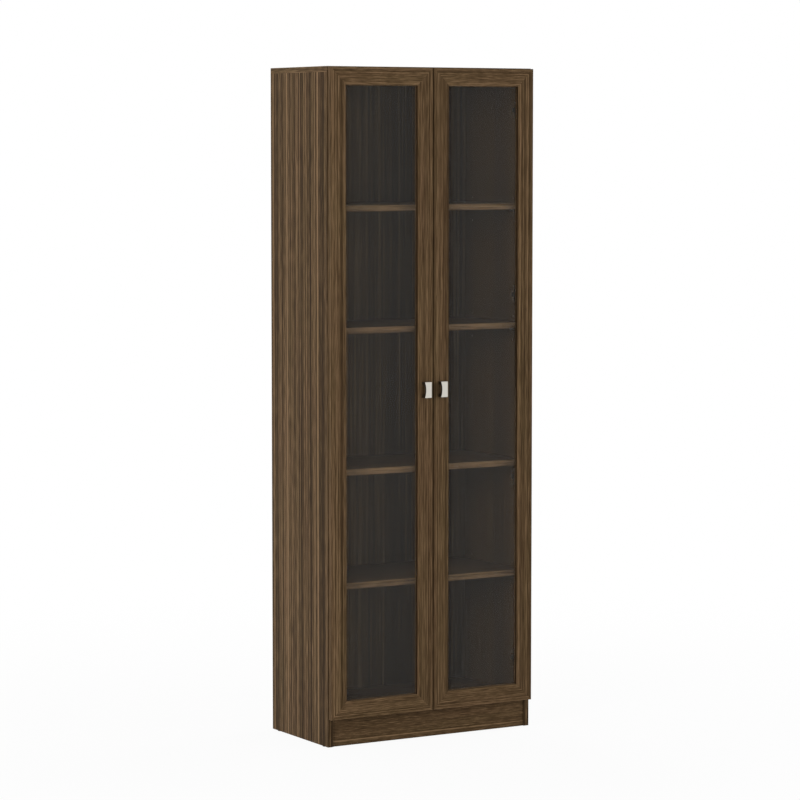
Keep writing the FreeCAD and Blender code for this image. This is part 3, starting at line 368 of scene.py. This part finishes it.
def walnut_foil(name, grain_turn, colours=WALNUT, contrast=1.0, fineness=1.0, long_streaks=1.0,
                flecks=0.0, raw_rear=0.0, raw_below=0.0, front_band_light_and_shade=0.0, figure=()):
    """Walnut foil on a board or moulding, with raw chipboard on the faces that are left bare."""
    foil = bpy.data.materials.new(name)
    foil.use_nodes = True
    tree = foil.node_tree
    surface = tree.nodes["Principled BSDF"]
    where = tree.nodes.new("ShaderNodeTexCoord")
    vector = turned(tree, where.outputs["Object"], grain_turn)
    faces = tree.nodes.new("ShaderNodeGroup")
    faces.node_tree = faces_group
    faces.inputs["Rear"].default_value = raw_rear
    faces.inputs["Below"].default_value = raw_below
    tree.links.new(where.outputs["Normal"], faces.inputs["Normal"])
    if grain_turn == ALONG_X:
        banding = turned(tree, where.outputs["Object"], ALONG_Y)
        choice = tree.nodes.new("ShaderNodeMix")
        choice.data_type = "VECTOR"
        tree.links.new(faces.outputs["Ends"], choice.inputs["Factor"])
        tree.links.new(vector, choice.inputs[4])
        tree.links.new(banding, choice.inputs[5])
        vector = choice.outputs[1]
    grain = tree.nodes.new("ShaderNodeGroup")
    grain.node_tree = grain_group
    for label, colour in colours.items():
        grain.inputs[label].default_value = colour
    grain.inputs["Contrast"].default_value = contrast
    grain.inputs["Fineness"].default_value = fineness
    grain.inputs["Long Streaks"].default_value = long_streaks
    grain.inputs["Flecks"].default_value = flecks
    tree.links.new(vector, grain.inputs["Vector"])
    across = "X" if grain_turn == ALONG_X else "Y"
    # The front band shifts the front edge's tone: painted shade on the side panels; on the shelves, partly
    # the band's own lighter tone and partly painted light.
    lines = sums(tree, "MULTIPLY", faces.outputs["Front"], front_band_light_and_shade)
    for place_at, half_width, strength in figure:
        lines = sums(tree, "ADD", lines, stripe(tree, vector, across, place_at, half_width, strength))
    tree.links.new(lines, grain.inputs["Figure"])
    colour, rough, height = (grain.outputs[label] for label in ("Color", "Roughness", "Height"))
    if raw_rear or raw_below:
        chips = tree.nodes.new("ShaderNodeGroup")
        chips.node_tree = chip_group
        tree.links.new(where.outputs["Object"], chips.inputs["Vector"])
        raw = faces.outputs["Raw"]
        colour = blend(tree, raw, colour, chips.outputs["Color"])
        rough = sums(tree, "MAXIMUM", rough, sums(tree, "MULTIPLY", raw, 0.9))
        height = sums(tree, "ADD", height, sums(tree, "MULTIPLY", raw, chips.outputs["Height"]))
    tree.links.new(colour, surface.inputs["Base Color"])
    tree.links.new(rough, surface.inputs["Roughness"])
    relief = tree.nodes.new("ShaderNodeBump")
    relief.inputs["Strength"].default_value = 0.3
    relief.inputs["Distance"].default_value = 0.00005
    tree.links.new(height, relief.inputs["Height"])
    tree.links.new(relief.outputs["Normal"], surface.inputs["Normal"])
    surface.inputs["Specular IOR Level"].default_value = 0.035
    return foil


def only(piece):
    """Selects one object and nothing else."""
    bpy.ops.object.select_all(action="DESELECT")
    piece.select_set(True)
    bpy.context.view_layer.objects.active = piece


def apply_modifier(piece, kind, **settings):
    """Adds a modifier with its settings and applies it."""
    modifier = piece.modifiers.new(kind.lower(), kind)
    for label, value in settings.items():
        setattr(modifier, label, value)
    only(piece)
    bpy.ops.object.modifier_apply(modifier=modifier.name)


def whole_copy(node, name):
    """A CAD piece's shape as one joined mesh with whole flat faces, ready to be finished."""
    piece = bpy.data.objects.new(name, cad_nodes[node].data.copy())
    stage_scene.collection.objects.link(piece)
    piece.data.name = name
    only(piece)
    bpy.ops.mesh.customdata_custom_splitnormals_clear()
    bpy.ops.object.mode_set(mode="EDIT")
    bpy.ops.mesh.select_all(action="SELECT")
    bpy.ops.mesh.remove_doubles(threshold=0.00001)
    bpy.ops.mesh.dissolve_limited(angle_limit=math.radians(0.5))
    bpy.ops.object.mode_set(mode="OBJECT")
    return piece


def soften(piece, width, segments=2, smooth=35.0):
    """Eases the sharp arrises and leaves the flat faces flat."""
    apply_modifier(piece, "BEVEL", width=width, segments=segments, limit_method="ANGLE",
                   angle_limit=math.radians(smooth), use_clamp_overlap=True)
    only(piece)
    bpy.ops.object.shade_smooth_by_angle(angle=math.radians(smooth))
    apply_modifier(piece, "WEIGHTED_NORMAL", keep_sharp=True)


def finish_piece(piece, body, slot, material, *nodes):
    """Gives a finished piece its material and its body, and hides the CAD nodes it stands for; the slot is
    not used.
    """
    piece.data.materials.clear()
    piece.data.materials.append(material)
    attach(piece, body)
    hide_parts(*nodes)


def eased(node, body, slot, material, width, segments=2):
    """The CAD piece with eased arrises."""
    piece = whole_copy(node, node + "_eased")
    soften(piece, width, segments)
    finish_piece(piece, body, slot, material, node)
    return piece


BOARD_ARRIS = 0.0005
SIDE_CONTRAST = 0.76
INSIDE_CALM = 0.7
INSIDE_PAINTED_SHADE = 0.25
inner_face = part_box("side_panel_right")[0][0]
# Each line of the left side's figure: its place front to back, its half width and its strength.
left_figure = (
    (0.1580, 0.0034, 0.55),
    (0.1190, 0.0110, 0.12),
    (0.1010, 0.0100, -0.12),
    (0.0825, 0.0046, 1.20),
    (0.0300, 0.0060, 0.12),
    (-0.0040, 0.0040, -0.20),
    (-0.0500, 0.0110, -0.22),
    (-0.0700, 0.0050, 0.15),
    (-0.0870, 0.0042, 1.20),
    (-0.0970, 0.0045, -0.35),
    (-0.1130, 0.0160, -0.34),
    (-0.1360, 0.0050, 0.20),
)


def paint_inside_shade(foil):
    """Paints shade on the faces towards the inside of the case, so they are darker, and makes their grain
    calmer.
    """
    tree = foil.node_tree
    grain = placed(tree, grain_group)
    where = tree.nodes.new("ShaderNodeTexCoord")
    place_at = tree.nodes.new("ShaderNodeSeparateXYZ")
    tree.links.new(where.outputs["Object"], place_at.inputs[0])
    from_middle = sums(tree, "ABSOLUTE", place_at.outputs["X"])
    inside = sums(tree, "LESS_THAN", from_middle, inner_face + 0.8 * BOARD_ARRIS)
    outside = sums(tree, "SUBTRACT", 1.0, inside)
    lines = sums(tree, "MULTIPLY", grain.inputs["Figure"].links[0].from_socket, outside)
    # Painted shade: the inside faces are darkened because the inside of the case is in shade.
    darker = sums(tree, "MULTIPLY", inside, INSIDE_PAINTED_SHADE)
    tree.links.new(sums(tree, "SUBTRACT", lines, darker), grain.inputs["Figure"])
    less = sums(tree, "MULTIPLY", inside, INSIDE_CALM * SIDE_CONTRAST)
    tree.links.new(sums(tree, "SUBTRACT", SIDE_CONTRAST, less), grain.inputs["Contrast"])
    pores = grain.inputs["Pores"].default_value
    tree.links.new(sums(tree, "MULTIPLY", outside, pores), grain.inputs["Pores"])


# The side panels' negative front band paints their front edges darker, as shade of the gap behind the doors.
left_foil = walnut_foil("walnut_foil_left_side", UP, contrast=SIDE_CONTRAST, fineness=1.15, raw_rear=1.0,
                        raw_below=1.0, front_band_light_and_shade=-0.35, figure=left_figure)
side_foil = walnut_foil("walnut_foil_side", UP, contrast=SIDE_CONTRAST, fineness=1.15, raw_rear=1.0,
                        raw_below=1.0, front_band_light_and_shade=-0.35)
for foil in (left_foil, side_foil):
    paint_inside_shade(foil)
eased("side_panel_left", "case", "board", left_foil, BOARD_ARRIS)
eased("side_panel_right", "case", "board", side_foil, BOARD_ARRIS)

# ---------------------------------------------------------------- top, bottom, plinth and shelves
# Boards cut from the same chipboard, with the grain running from side to side. Front edges and the top's
# ends are banded with foil, ends have the grain front to back; rear edges are raw.

level_foil = walnut_foil("walnut_foil_level", ALONG_X, contrast=0.6, fineness=1.3, long_streaks=0.6,
                         flecks=0.5, raw_rear=1.0)
# The plinth's figure: a pale streak of the print near its foot, and a faint dark band near its top that is
# painted shade under the doors.
plinth_foil = walnut_foil("walnut_foil_plinth", ALONG_X, contrast=0.38, fineness=1.5, long_streaks=0.4,
                          flecks=1.0, raw_rear=1.0, figure=((0.0155, 0.0024, 0.5), (0.064, 0.005, -0.06)))
# The shelves' front band lightens their front edges, partly as the band's own tone and partly as painted
# light reaching them through the glass.
shelf_foil = walnut_foil("walnut_foil_shelf", ALONG_X, contrast=0.42, fineness=1.3, long_streaks=0.6,
                         flecks=0.6, raw_rear=1.0, front_band_light_and_shade=0.18)
eased("top_panel", "case", "board", level_foil, BOARD_ARRIS)
eased("bottom_panel", "case", "board", level_foil, BOARD_ARRIS)
eased("plinth_board", "case", "board", plinth_foil, BOARD_ARRIS)
for board in ("shelf_fixed", "shelf_lower", "shelf_middle", "shelf_upper"):
    eased(board, "case", "board", shelf_foil, BOARD_ARRIS)

# ---------------------------------------------------------------- back boards
# Two sheets of 3 mm hardboard nailed over the rear edges. The inside is printed in a darker walnut with the
# grain upright, darker partly by its print and partly as painted shade of the inside of the case; the rear
# is bare brown fibre.

DARK_PRINT_AND_SHADE = {"Dark": paint(44, 34, 23), "Middle": paint(65, 51, 35), "Light": paint(98, 81, 58)}
BACK_ARRIS = 0.0003


def hardboard(name):
    """Printed on the inside, bare pressed fibre on the rear."""
    sheet = walnut_foil(name, UP, colours=DARK_PRINT_AND_SHADE, contrast=0.5, fineness=0.45, raw_rear=1.0)
    placed(sheet.node_tree, grain_group).inputs["Pores"].default_value = 0.1
    chips = placed(sheet.node_tree, chip_group)
    chips.inputs["Light"].default_value = paint(128, 98, 68)
    chips.inputs["Dark"].default_value = paint(96, 70, 46)
    return sheet


back_foil = hardboard("back_hardboard")
for board in ("back_panel_lower", "back_panel_upper"):
    eased(board, "case", "back_board", back_foil, BACK_ARRIS)

# ---------------------------------------------------------------- door frames
# Fibreboard mouldings wrapped in walnut foil and mitred at the corners, with the grain along each member.
# The arrises are eased by the wrapping, so that each mitre shows as a fine V.

MOULDING_ARRIS = 0.0005
PANE_LAP = 0.008
LIP_WIDTH = 0.0082
LIP_FADE = 0.0004
# Painted highlight on the lips.
LIP_PAINTED_HIGHLIGHT = 0.1
WALL_DEPTH = 0.0007
WALL_DARKER = 0.7
pane_low, pane_high = (Vector(corner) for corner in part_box("glass_pane_right"))


def shade_lips(foil, axis, lighter):
    """Paints a highlight on the lips, where their slope would catch the light, and darkens the upright walls
    beside the glass.
    """
    way = "XYZ".index(axis)
    middle = (pane_low[way] + pane_high[way]) / 2
    half_opening = (pane_high[way] - pane_low[way]) / 2 - PANE_LAP
    tree = foil.node_tree
    where = tree.nodes.new("ShaderNodeTexCoord")
    place_at = tree.nodes.new("ShaderNodeSeparateXYZ")
    tree.links.new(where.outputs["Object"], place_at.inputs[0])
    facing = tree.nodes.new("ShaderNodeSeparateXYZ")
    tree.links.new(where.outputs["Normal"], facing.inputs[0])
    reach = sums(tree, "SUBTRACT", sums(tree, "ABSOLUTE", place_at.outputs[axis]), middle)
    past = sums(tree, "SUBTRACT", sums(tree, "ABSOLUTE", reach), half_opening)
    lip = sums(tree, "SUBTRACT", 1.0, between(tree, past, LIP_WIDTH - LIP_FADE, LIP_WIDTH + LIP_FADE))
    sideways = sums(tree, "GREATER_THAN", sums(tree, "ABSOLUTE", facing.outputs["X"]), SQUARELY)
    wall = sums(tree, "MULTIPLY", sideways, sums(tree, "LESS_THAN", past, WALL_DEPTH))
    shade = sums(tree, "ADD", sums(tree, "MULTIPLY", lip, LIP_PAINTED_HIGHLIGHT), lighter)
    shade = sums(tree, "SUBTRACT", shade, sums(tree, "MULTIPLY", wall, WALL_DARKER))
    tree.links.new(shade, placed(tree, grain_group).inputs["Figure"])


frame_up = walnut_foil("frame_foil_upright", UP, contrast=0.56, fineness=1.6)
frame_along = walnut_foil("frame_foil_level", ALONG_X, contrast=0.4, fineness=1.5, long_streaks=0.5,
                          flecks=0.8)
shade_lips(frame_up, "X", lighter=0.0)
shade_lips(frame_along, "Z", lighter=0.07)
for side in ("left", "right"):
    body = side + "_door"
    for member in ("door_hinge_stile_", "door_handle_stile_"):
        eased(member + side, body, "frame", frame_up, MOULDING_ARRIS)
    for member in ("door_top_rail_", "door_bottom_rail_"):
        eased(member + side, body, "frame", frame_along, MOULDING_ARRIS)

# ---------------------------------------------------------------- glazing beads
# Thin quarter-round strips, mitred at the corners and pinned into the rebates behind the glass.
# They lap the lips a little, so that a narrow strip of them shows through the glass.

BEAD_WIDTH = 0.0108
BEAD_ARRIS = 0.0002


def bead_ring(name, low, high):
    """A flat ring at the strips' front, inset to their width and drawn back to the door's rear face."""
    middle = (low + high) / 2
    bpy.ops.object.select_all(action="DESELECT")
    bpy.ops.mesh.primitive_plane_add(size=1.0, location=(middle.x, low.y, middle.z),
                                     rotation=(math.radians(90), 0.0, 0.0))
    ring = bpy.context.object
    ring.name = name
    ring.data.name = name
    ring.scale = (high.x - low.x, high.z - low.z, 1.0)
    bpy.ops.object.transform_apply(location=True, rotation=True, scale=True)
    bpy.ops.object.mode_set(mode="EDIT")
    bpy.ops.mesh.select_all(action="SELECT")
    bpy.ops.mesh.inset(thickness=BEAD_WIDTH)
    bpy.ops.mesh.delete(type="FACE")
    bpy.ops.mesh.select_all(action="SELECT")
    bpy.ops.mesh.extrude_region_move(TRANSFORM_OT_translate={"value": (0.0, high.y - low.y, 0.0)})
    bpy.ops.mesh.select_all(action="SELECT")
    bpy.ops.mesh.normals_make_consistent(inside=False)
    bpy.ops.object.mode_set(mode="OBJECT")
    shape = bmesh.new()
    shape.from_mesh(ring.data)
    reach = (high - low) / 2 - Vector((BEAD_WIDTH, 0.0, BEAD_WIDTH)) / 2
    inner_rear = [edge for edge in shape.edges
                  if all(corner.co.y > middle.y and abs(corner.co.x - middle.x) < reach.x
                         and abs(corner.co.z - middle.z) < reach.z for corner in edge.verts)]
    bmesh.ops.bevel(shape, geom=inner_rear, offset=(high.y - low.y) * 0.8, segments=5, profile=0.5,
                    affect="EDGES")
    shape.to_mesh(ring.data)
    shape.free()
    return ring


bead_foil = walnut_foil("bead_foil", UP, contrast=0.4, fineness=1.6)
for side in ("left", "right"):
    low, high = (Vector(corner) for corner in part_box("glazing_beads_" + side))
    beads = bead_ring("glazing_beads_%s_mitred" % side, low, high)
    soften(beads, BEAD_ARRIS, 1)
    finish_piece(beads, side + "_door", "frame", bead_foil, "glazing_beads_" + side)

# ---------------------------------------------------------------- glass
# One pane of 3 mm float glass in each door, dropped into the rebate from behind. A trace of haze makes the
# inside look a little greyer.


def clear_glass():
    """Glass that light passes straight through, with a faint gloss and a trace of haze."""
    glass = bpy.data.materials.new("clear_glass")
    glass.use_nodes = True
    tree = glass.node_tree
    surface = tree.nodes["Principled BSDF"]
    surface.inputs["Base Color"].default_value = (0.97, 0.95, 0.915, 1.0)
    surface.inputs["Roughness"].default_value = 0.0
    surface.inputs["Transmission Weight"].default_value = 0.987
    surface.inputs["IOR"].default_value = 1.45
    surface.inputs["Specular Tint"].default_value = (0.0, 0.0, 0.0, 1.0)
    path = tree.nodes.new("ShaderNodeLightPath")
    through = tree.nodes.new("ShaderNodeBsdfTransparent")
    through.inputs["Color"].default_value = (0.93, 0.935, 0.93, 1.0)
    mix = tree.nodes.new("ShaderNodeMixShader")
    lets_light = sums(tree, "MAXIMUM", path.outputs["Is Shadow Ray"], path.outputs["Is Diffuse Ray"])
    tree.links.new(lets_light, mix.inputs["Fac"])
    tree.links.new(surface.outputs[0], mix.inputs[1])
    tree.links.new(through.outputs[0], mix.inputs[2])
    tree.links.new(mix.outputs[0], tree.nodes["Material Output"].inputs["Surface"])
    return glass


def dress(material, *names):
    """Gives CAD nodes their finish."""
    for name in names:
        mesh = cad_nodes[name].data
        mesh.materials.clear()
        mesh.materials.append(material)


dress(clear_glass(), "glass_pane_left", "glass_pane_right")

# ---------------------------------------------------------------- handles
# Small die-cast bow handles: two feet, a strap that bows forward, and a waist at mid height. The strap's
# face is brushed satin silver; its flanks and the feet are painted darker, as painted shade of the hollow
# behind the strap.


def cast_metal(name, colour, roughness, scratch, scale, stretch):
    """Metal with faint unevenness of its gloss, drawn out along Z by stretch."""
    plate = bpy.data.materials.new(name)
    plate.use_nodes = True
    tree = plate.node_tree
    surface = tree.nodes["Principled BSDF"]
    surface.inputs["Base Color"].default_value = colour
    surface.inputs["Metallic"].default_value = 1.0
    where = tree.nodes.new("ShaderNodeTexCoord")
    uneven = noise(tree, where.outputs["Object"], scale, scale / stretch, 2.0)
    tree.links.new(sums(tree, "ADD", roughness, sums(tree, "MULTIPLY", uneven, scratch)),
                   surface.inputs["Roughness"])
    relief = tree.nodes.new("ShaderNodeBump")
    relief.inputs["Strength"].default_value = 0.15
    relief.inputs["Distance"].default_value = 0.00005
    tree.links.new(uneven, relief.inputs["Height"])
    tree.links.new(relief.outputs["Normal"], surface.inputs["Normal"])
    return plate


def brush_front_shade_flanks(metal, shaded_flank_colour, front_colour):
    """Paints shade on the metal wherever it doesn't face the front, darkening the flanks and feet."""
    tree = metal.node_tree
    where = tree.nodes.new("ShaderNodeTexCoord")
    facing = tree.nodes.new("ShaderNodeSeparateXYZ")
    tree.links.new(where.outputs["Normal"], facing.inputs[0])
    brushed = between(tree, sums(tree, "MULTIPLY", facing.outputs["Y"], -1.0), 0.55, 0.8)
    colour = blend(tree, brushed, shaded_flank_colour, front_colour)
    tree.links.new(colour, tree.nodes["Principled BSDF"].inputs["Base Color"])


HANDLE_ARRIS = 0.0008
BRUSHED_SILVER = (0.62, 0.59, 0.535, 1.0)
# The flanks' dark silver is painted shade.
SHADED_FLANK_SILVER = (0.20, 0.19, 0.17, 1.0)
satin_silver = cast_metal("satin_silver", BRUSHED_SILVER, 0.3, 0.12, 2500.0, 20.0)
brush_front_shade_flanks(satin_silver, SHADED_FLANK_SILVER, BRUSHED_SILVER)
for side in ("left", "right"):
    eased("handle_" + side, side + "_door", "handle", satin_silver, HANDLE_ARRIS, 3)

# ---------------------------------------------------------------- screws
# Nickel-plated screws with pan heads and cross recesses: two from behind into each handle, two in each
# hinge cup's flange, and two in each hinge plate.

nickel = cast_metal("nickel_steel", (0.62, 0.60, 0.57, 1.0), 0.24, 0.16, 900.0, 1.0)


def solid_boxes(node):
    """The lowest and highest corner of each separate solid in a CAD node."""
    shape = bmesh.new()
    shape.from_mesh(cad_nodes[node].data)
    bmesh.ops.remove_doubles(shape, verts=shape.verts, dist=0.00001)
    waiting = set(shape.verts)
    boxes = []
    while waiting:
        found = [waiting.pop()]
        for corner in found:
            for edge in corner.link_edges:
                other = edge.other_vert(corner)
                if other in waiting:
                    waiting.remove(other)
                    found.append(other)
        places = [corner.co for corner in found]
        boxes.append((Vector(map(min, zip(*places))), Vector(map(max, zip(*places)))))
    shape.free()
    return sorted(boxes, key=lambda box: tuple(round(v, 5) for v in box[0]))


def face_towards(shape, direction):
    """Selects the faces of an edit mesh that look one way."""
    for face in shape.faces:
        face.select_set(face.normal.dot(direction) > 0.99)
    shape.select_flush_mode()


HEAD_ROUNDING = 0.7
TIP_LENGTH = 0.12
TIP_THICKNESS = 0.4
CROSS_REACH = 1.15
CROSS_WIDTH = 0.27
CROSS_HEIGHT = 1.2


def cross_screw(name, head_radius, head_thick, shank_radius, length):
    """A screw that stands on Z with the underside of its head at the origin."""
    bpy.ops.object.select_all(action="DESELECT")
    bpy.ops.mesh.primitive_cylinder_add(vertices=32, radius=head_radius, depth=head_thick,
                                        location=(0.0, 0.0, head_thick / 2))
    screw = bpy.context.object
    screw.name = name
    bpy.ops.object.transform_apply(location=True)
    bpy.ops.object.mode_set(mode="EDIT")
    shape = bmesh.from_edit_mesh(screw.data)
    face_towards(shape, Vector((0.0, 0.0, 1.0)))
    bmesh.update_edit_mesh(screw.data)
    bpy.ops.mesh.bevel(offset=head_thick * HEAD_ROUNDING, segments=5, affect="EDGES")
    shape = bmesh.from_edit_mesh(screw.data)
    face_towards(shape, Vector((0.0, 0.0, -1.0)))
    bmesh.update_edit_mesh(screw.data)
    bpy.ops.mesh.inset(thickness=head_radius - shank_radius)
    for share in (1 - TIP_LENGTH, TIP_LENGTH):
        bpy.ops.mesh.extrude_region_move(TRANSFORM_OT_translate={"value": (0.0, 0.0, -length * share)})
    bpy.ops.transform.resize(value=(TIP_THICKNESS, TIP_THICKNESS, 1.0), center_override=(0.0, 0.0, 0.0))
    bpy.ops.object.mode_set(mode="OBJECT")
    for turn in (0.0, math.radians(90)):
        bpy.ops.object.select_all(action="DESELECT")
        bpy.ops.mesh.primitive_cube_add(size=1.0, location=(0.0, 0.0, head_thick), rotation=(0.0, 0.0, turn))
        wing = bpy.context.object
        wing.scale = (head_radius * CROSS_REACH, head_radius * CROSS_WIDTH, head_thick * CROSS_HEIGHT)
        bpy.ops.object.transform_apply(location=True, rotation=True, scale=True)
        apply_modifier(screw, "BOOLEAN", operation="DIFFERENCE", solver="EXACT", object=wing)
        bpy.data.objects.remove(wing)
    only(screw)
    bpy.ops.object.shade_smooth_by_angle(angle=math.radians(40))
    return screw


SCREW_TWIST = math.radians(37)


def set_screws(node, body, pattern, axis, head_end):
    """Copies of one screw at the places of a CAD node's screws, with their heads at one end of an axis."""
    spots = [(low + high) / 2 for low, high in solid_boxes(node)]
    outward = Vector((0.0, 0.0, 0.0))
    outward[axis] = math.copysign(1.0, head_end - spots[0][axis])
    stand = outward.to_track_quat("Z", "X").to_matrix().to_4x4()
    made = []
    for number, spot in enumerate(spots):
        spot[axis] = head_end
        twist = Matrix.Rotation(SCREW_TWIST * number, 4, "Z")
        copy = bpy.data.objects.new("%s_%d" % (pattern.name, number), pattern.data.copy())
        copy.data.transform(Matrix.Translation(spot) @ stand @ twist)
        stage_scene.collection.objects.link(copy)
        made.append(copy)
    only(made[0])
    for copy in made:
        copy.select_set(True)
    bpy.ops.object.join()
    made[0].name = node + "_cross"
    made[0].data.name = node + "_cross"
    finish_piece(made[0], body, "steel", nickel, node)


# Each kind's nodes, the body they ride on, the axis they lie along, the head's thickness and the shank's
# radius.
SCREW_KINDS = (
    ("handle_screws_", "_door", 1, 0.0022, 0.0020),
    ("cup_screws_", "_door", 1, 0.0013, 0.0013),
    ("plate_screws_", None, 0, 0.0016, 0.0015),
)
for prefix, body_ending, axis, head_thick, shank_radius in SCREW_KINDS:
    low, high = solid_boxes(prefix + "left")[0]
    spread = (high - low) / 2
    head_radius = min(spread[way] for way in range(3) if way != axis)
    pattern = cross_screw(prefix + "pattern", head_radius, head_thick, shank_radius,
                          high[axis] - low[axis] - head_thick)
    for side in ("left", "right"):
        low, high = solid_boxes(prefix + side)[0]
        inward = axis == 1 or side == "left"
        head_end = high[axis] - head_thick if inward else low[axis] + head_thick
        set_screws(prefix + side, side + body_ending if body_ending else "case", pattern, axis, head_end)
    bpy.data.objects.remove(pattern)

# ---------------------------------------------------------------- concealed hinges
# Nickel-plated cups, arms, links and plates, pressed from steel sheet. The cups sit in bores in the doors,
# and turned pins join the links to them and to the arms.

SHEET_ARRIS = 0.0004
ARM_ARRIS = 0.0005
for side in ("left", "right"):
    eased("hinge_cups_" + side, side + "_door", "steel", nickel, SHEET_ARRIS)
    eased("hinge_links_" + side, side + "_hinge_links", "steel", nickel, SHEET_ARRIS)
    eased("hinge_arms_" + side, "case", "steel", nickel, ARM_ARRIS)
    eased("hinge_plates_" + side, "case", "steel", nickel, SHEET_ARRIS)
    dress(nickel, "hinge_pins_" + side)

# ---------------------------------------------------------------- shelf pins, nails, cams, bolts and dowels
# Bright steel pins carry the loose shelves, zinc cams and bolts pull the boards together on beech dowels,
# and flat-headed nails hold the back.

PIN_ARRIS = 0.0005
NAIL_ARRIS = 0.0003
CAM_ARRIS = 0.0004
BEECH = {"Dark": paint(176, 134, 90), "Middle": paint(204, 166, 120), "Light": paint(222, 190, 148)}
zinc = cast_metal("die_cast_zinc", (0.56, 0.56, 0.57, 1.0), 0.36, 0.2, 1200.0, 1.0)
beech = walnut_foil("beech_dowel", ALONG_X, colours=BEECH, contrast=0.4, fineness=2.0)
eased("shelf_pins", "case", "steel", nickel, PIN_ARRIS)
eased("back_nails", "case", "steel", nickel, NAIL_ARRIS, 1)
eased("cam_locks", "case", "zinc", zinc, CAM_ARRIS)
dress(nickel, "cam_bolts")
dress(beech, "board_dowels", "mitre_dowels_left", "mitre_dowels_right")

# ---------------------------------------------------------------- glides and bumpers
# Nail-on glides of dark grey plastic under the side panels, and soft clear buffers stuck on the doors' rear
# faces.

SOFT_DEPTH = 0.001


def moulded_plastic(name, colour, roughness, soft):
    """Moulded plastic with the fine matt grain of its tool."""
    plastic = bpy.data.materials.new(name)
    plastic.use_nodes = True
    tree = plastic.node_tree
    surface = tree.nodes["Principled BSDF"]
    surface.inputs["Subsurface Weight"].default_value = soft
    surface.inputs["Subsurface Radius"].default_value = (SOFT_DEPTH, SOFT_DEPTH, SOFT_DEPTH)
    where = tree.nodes.new("ShaderNodeTexCoord")
    speckle = noise(tree, where.outputs["Object"], 3000.0, 3000.0, 2.0)
    lighter = tuple(min(1.0, v * 1.15) for v in colour[:3]) + (1.0,)
    tree.links.new(blend(tree, speckle, colour, lighter), surface.inputs["Base Color"])
    tree.links.new(sums(tree, "ADD", roughness, sums(tree, "MULTIPLY", speckle, 0.15)),
                   surface.inputs["Roughness"])
    relief = tree.nodes.new("ShaderNodeBump")
    relief.inputs["Strength"].default_value = 0.2
    relief.inputs["Distance"].default_value = 0.0001
    tree.links.new(speckle, relief.inputs["Height"])
    tree.links.new(relief.outputs["Normal"], surface.inputs["Normal"])
    return plastic


GLIDE_ARRIS = 0.0008
BUFFER_ARRIS = 0.0005
glide_plastic = moulded_plastic("glide_plastic", paint(66, 62, 58), 0.45, 0.0)
buffer_plastic = moulded_plastic("buffer_plastic", paint(206, 208, 204), 0.3, 0.2)
eased("floor_glides", "case", "glide", glide_plastic, GLIDE_ARRIS, 3)
for side in ("left", "right"):
    eased("door_bumpers_" + side, side + "_door", "bumper", buffer_plastic, BUFFER_ARRIS, 3)
